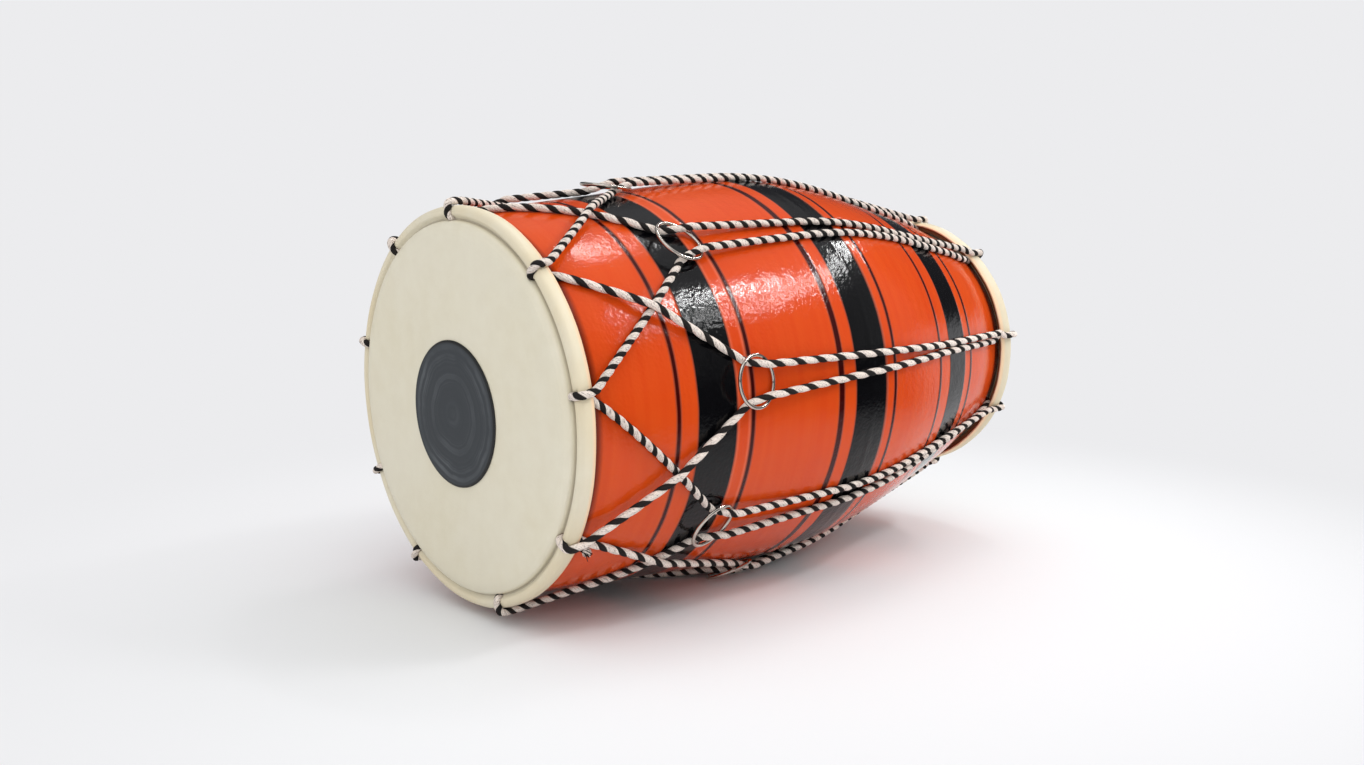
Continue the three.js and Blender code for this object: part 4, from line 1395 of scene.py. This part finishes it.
class DHOLAK_OT_stage(bpy.types.Operator):
    """Lay the floor and set the lamps and the camera"""

    bl_idname = "dholak.stage"
    bl_label = "Stage"

    def execute(self, context):
        scene, settings = context.scene, context.scene.dholak_stage
        scene.view_settings.view_transform = "Standard"
        self.floor(settings)
        self.world(scene, settings)
        for name, (size, place) in LAMPS.items():
            self.lamp(name, getattr(settings, name), size, place)
        camera = bpy.data.cameras.new("camera")
        camera.lens, camera.sensor_width, camera.clip_end = settings.focal, 36, 50
        scene.camera = linked("camera", camera)
        scene.camera.location = CAMERA_PLACE
        scene.camera.rotation_mode = "QUATERNION"
        scene.camera.rotation_quaternion = Matrix(CAMERA_AXES).transposed().to_quaternion()
        return {"FINISHED"}

    def world(self, scene, settings):
        """Even light from all round, and the backdrop's colour where it is seen."""
        world = bpy.data.worlds.new("Studio")
        world.use_nodes = True
        scene.world = world
        nodes = Nodes(world.node_tree)
        light = nodes.add("ShaderNodeBackground", {0: (1, 1, 1, 1), 1: settings.ambient}).outputs[0]
        shown = nodes.add("ShaderNodeBackground", {0: room_tone(nodes, settings), 1: 1.0}).outputs[0]
        mixed = nodes.add("ShaderNodeMixShader", {0: seen_directly(nodes), 1: light, 2: shown})
        nodes.supply(nodes.tree.nodes["World Output"].inputs[0], mixed.outputs[0])

    def lamp(self, name, power, size, place):
        """A soft rectangular lamp that looks at the drum."""
        lamp = bpy.data.lights.new(name, "AREA")
        lamp.energy = power
        lamp.shape = "RECTANGLE"
        lamp.size, lamp.size_y = size
        made = linked(name, lamp)
        made.location = place
        made.rotation_mode = "QUATERNION"
        made.rotation_quaternion = (LAMPS_LOOK_AT - Vector(place)).to_track_quat("-Z", "Y")

    def floor(self, settings):
        """A floor that takes the drum's shadow and fades into the backdrop."""
        paper = Finish("Backdrop")
        paper.give("Roughness", 0.9)
        place = paper.add("ShaderNodeTexCoord").outputs["Object"]
        tone = paper.clouds(place, scale=1.5, detail=2, spread=0.5)
        paper.give("Base Color", paper.blend(tone, settings.floor, [v * 0.985 for v in settings.floor]))
        far = paper.ranged(paper.vector("LENGTH", place), *FLOOR_FADE, smooth=True)
        glow = paper.add("ShaderNodeEmission", {0: room_tone(paper, settings), 1: 1.0}).outputs[0]
        share = paper.maths("MULTIPLY", far, seen_directly(paper))
        mixed = paper.add("ShaderNodeMixShader", {0: share, 1: paper.shader.outputs[0], 2: glow})
        paper.supply(paper.tree.nodes["Material Output"].inputs[0], mixed.outputs[0])
        corners = [(x * FLOOR_REACH, y * FLOOR_REACH, 0) for x, y in ((-1, -1), (1, -1), (1, 1), (-1, 1))]
        piece("floor", corners, [(0, 1, 2, 3)], paper.material, smooth=False)


class DHOLAK_PT_panel(bpy.types.Panel):
    """Lists the drum's pieces"""

    bl_idname = "DHOLAK_PT_panel"
    bl_label = "Dholak"
    bl_space_type = "VIEW_3D"
    bl_region_type = "UI"
    bl_category = "Dholak"

    def draw(self, context):
        for operator in OPERATORS:
            self.layout.operator(operator.bl_idname)
        for name in GROUPS:
            box = self.layout.box()
            group = getattr(context.scene, name)
            for key in group.__annotations__:
                box.prop(group, key)


OPERATORS = (
    DHOLAK_OT_shell, DHOLAK_OT_heads, DHOLAK_OT_patch, DHOLAK_OT_rings,
    DHOLAK_OT_lacing, DHOLAK_OT_tail, DHOLAK_OT_stage,
)
GROUPS = {
    "dholak_barrel": BarrelSizes,
    "dholak_heads": HeadSizes,
    "dholak_rope": RopeSizes,
    "dholak_finishes": Finishes,
    "dholak_stage": StageSettings,
}


def register():
    for name, group in GROUPS.items():
        bpy.utils.register_class(group)
        setattr(bpy.types.Scene, name, bpy.props.PointerProperty(type=group))
    for operator in OPERATORS:
        bpy.utils.register_class(operator)
    bpy.utils.register_class(DHOLAK_PT_panel)


def unregister():
    bpy.utils.unregister_class(DHOLAK_PT_panel)
    for operator in reversed(OPERATORS):
        bpy.utils.unregister_class(operator)
    for name, group in GROUPS.items():
        delattr(bpy.types.Scene, name)
        bpy.utils.unregister_class(group)


def main():
    register()
    bpy.ops.dholak.stage()
    bpy.ops.dholak.shell()
    bpy.ops.dholak.heads()
    bpy.ops.dholak.patch()
    bpy.ops.dholak.rings()
    bpy.ops.dholak.lacing()
    bpy.ops.dholak.tail()


if __name__ == "__main__":
    main()
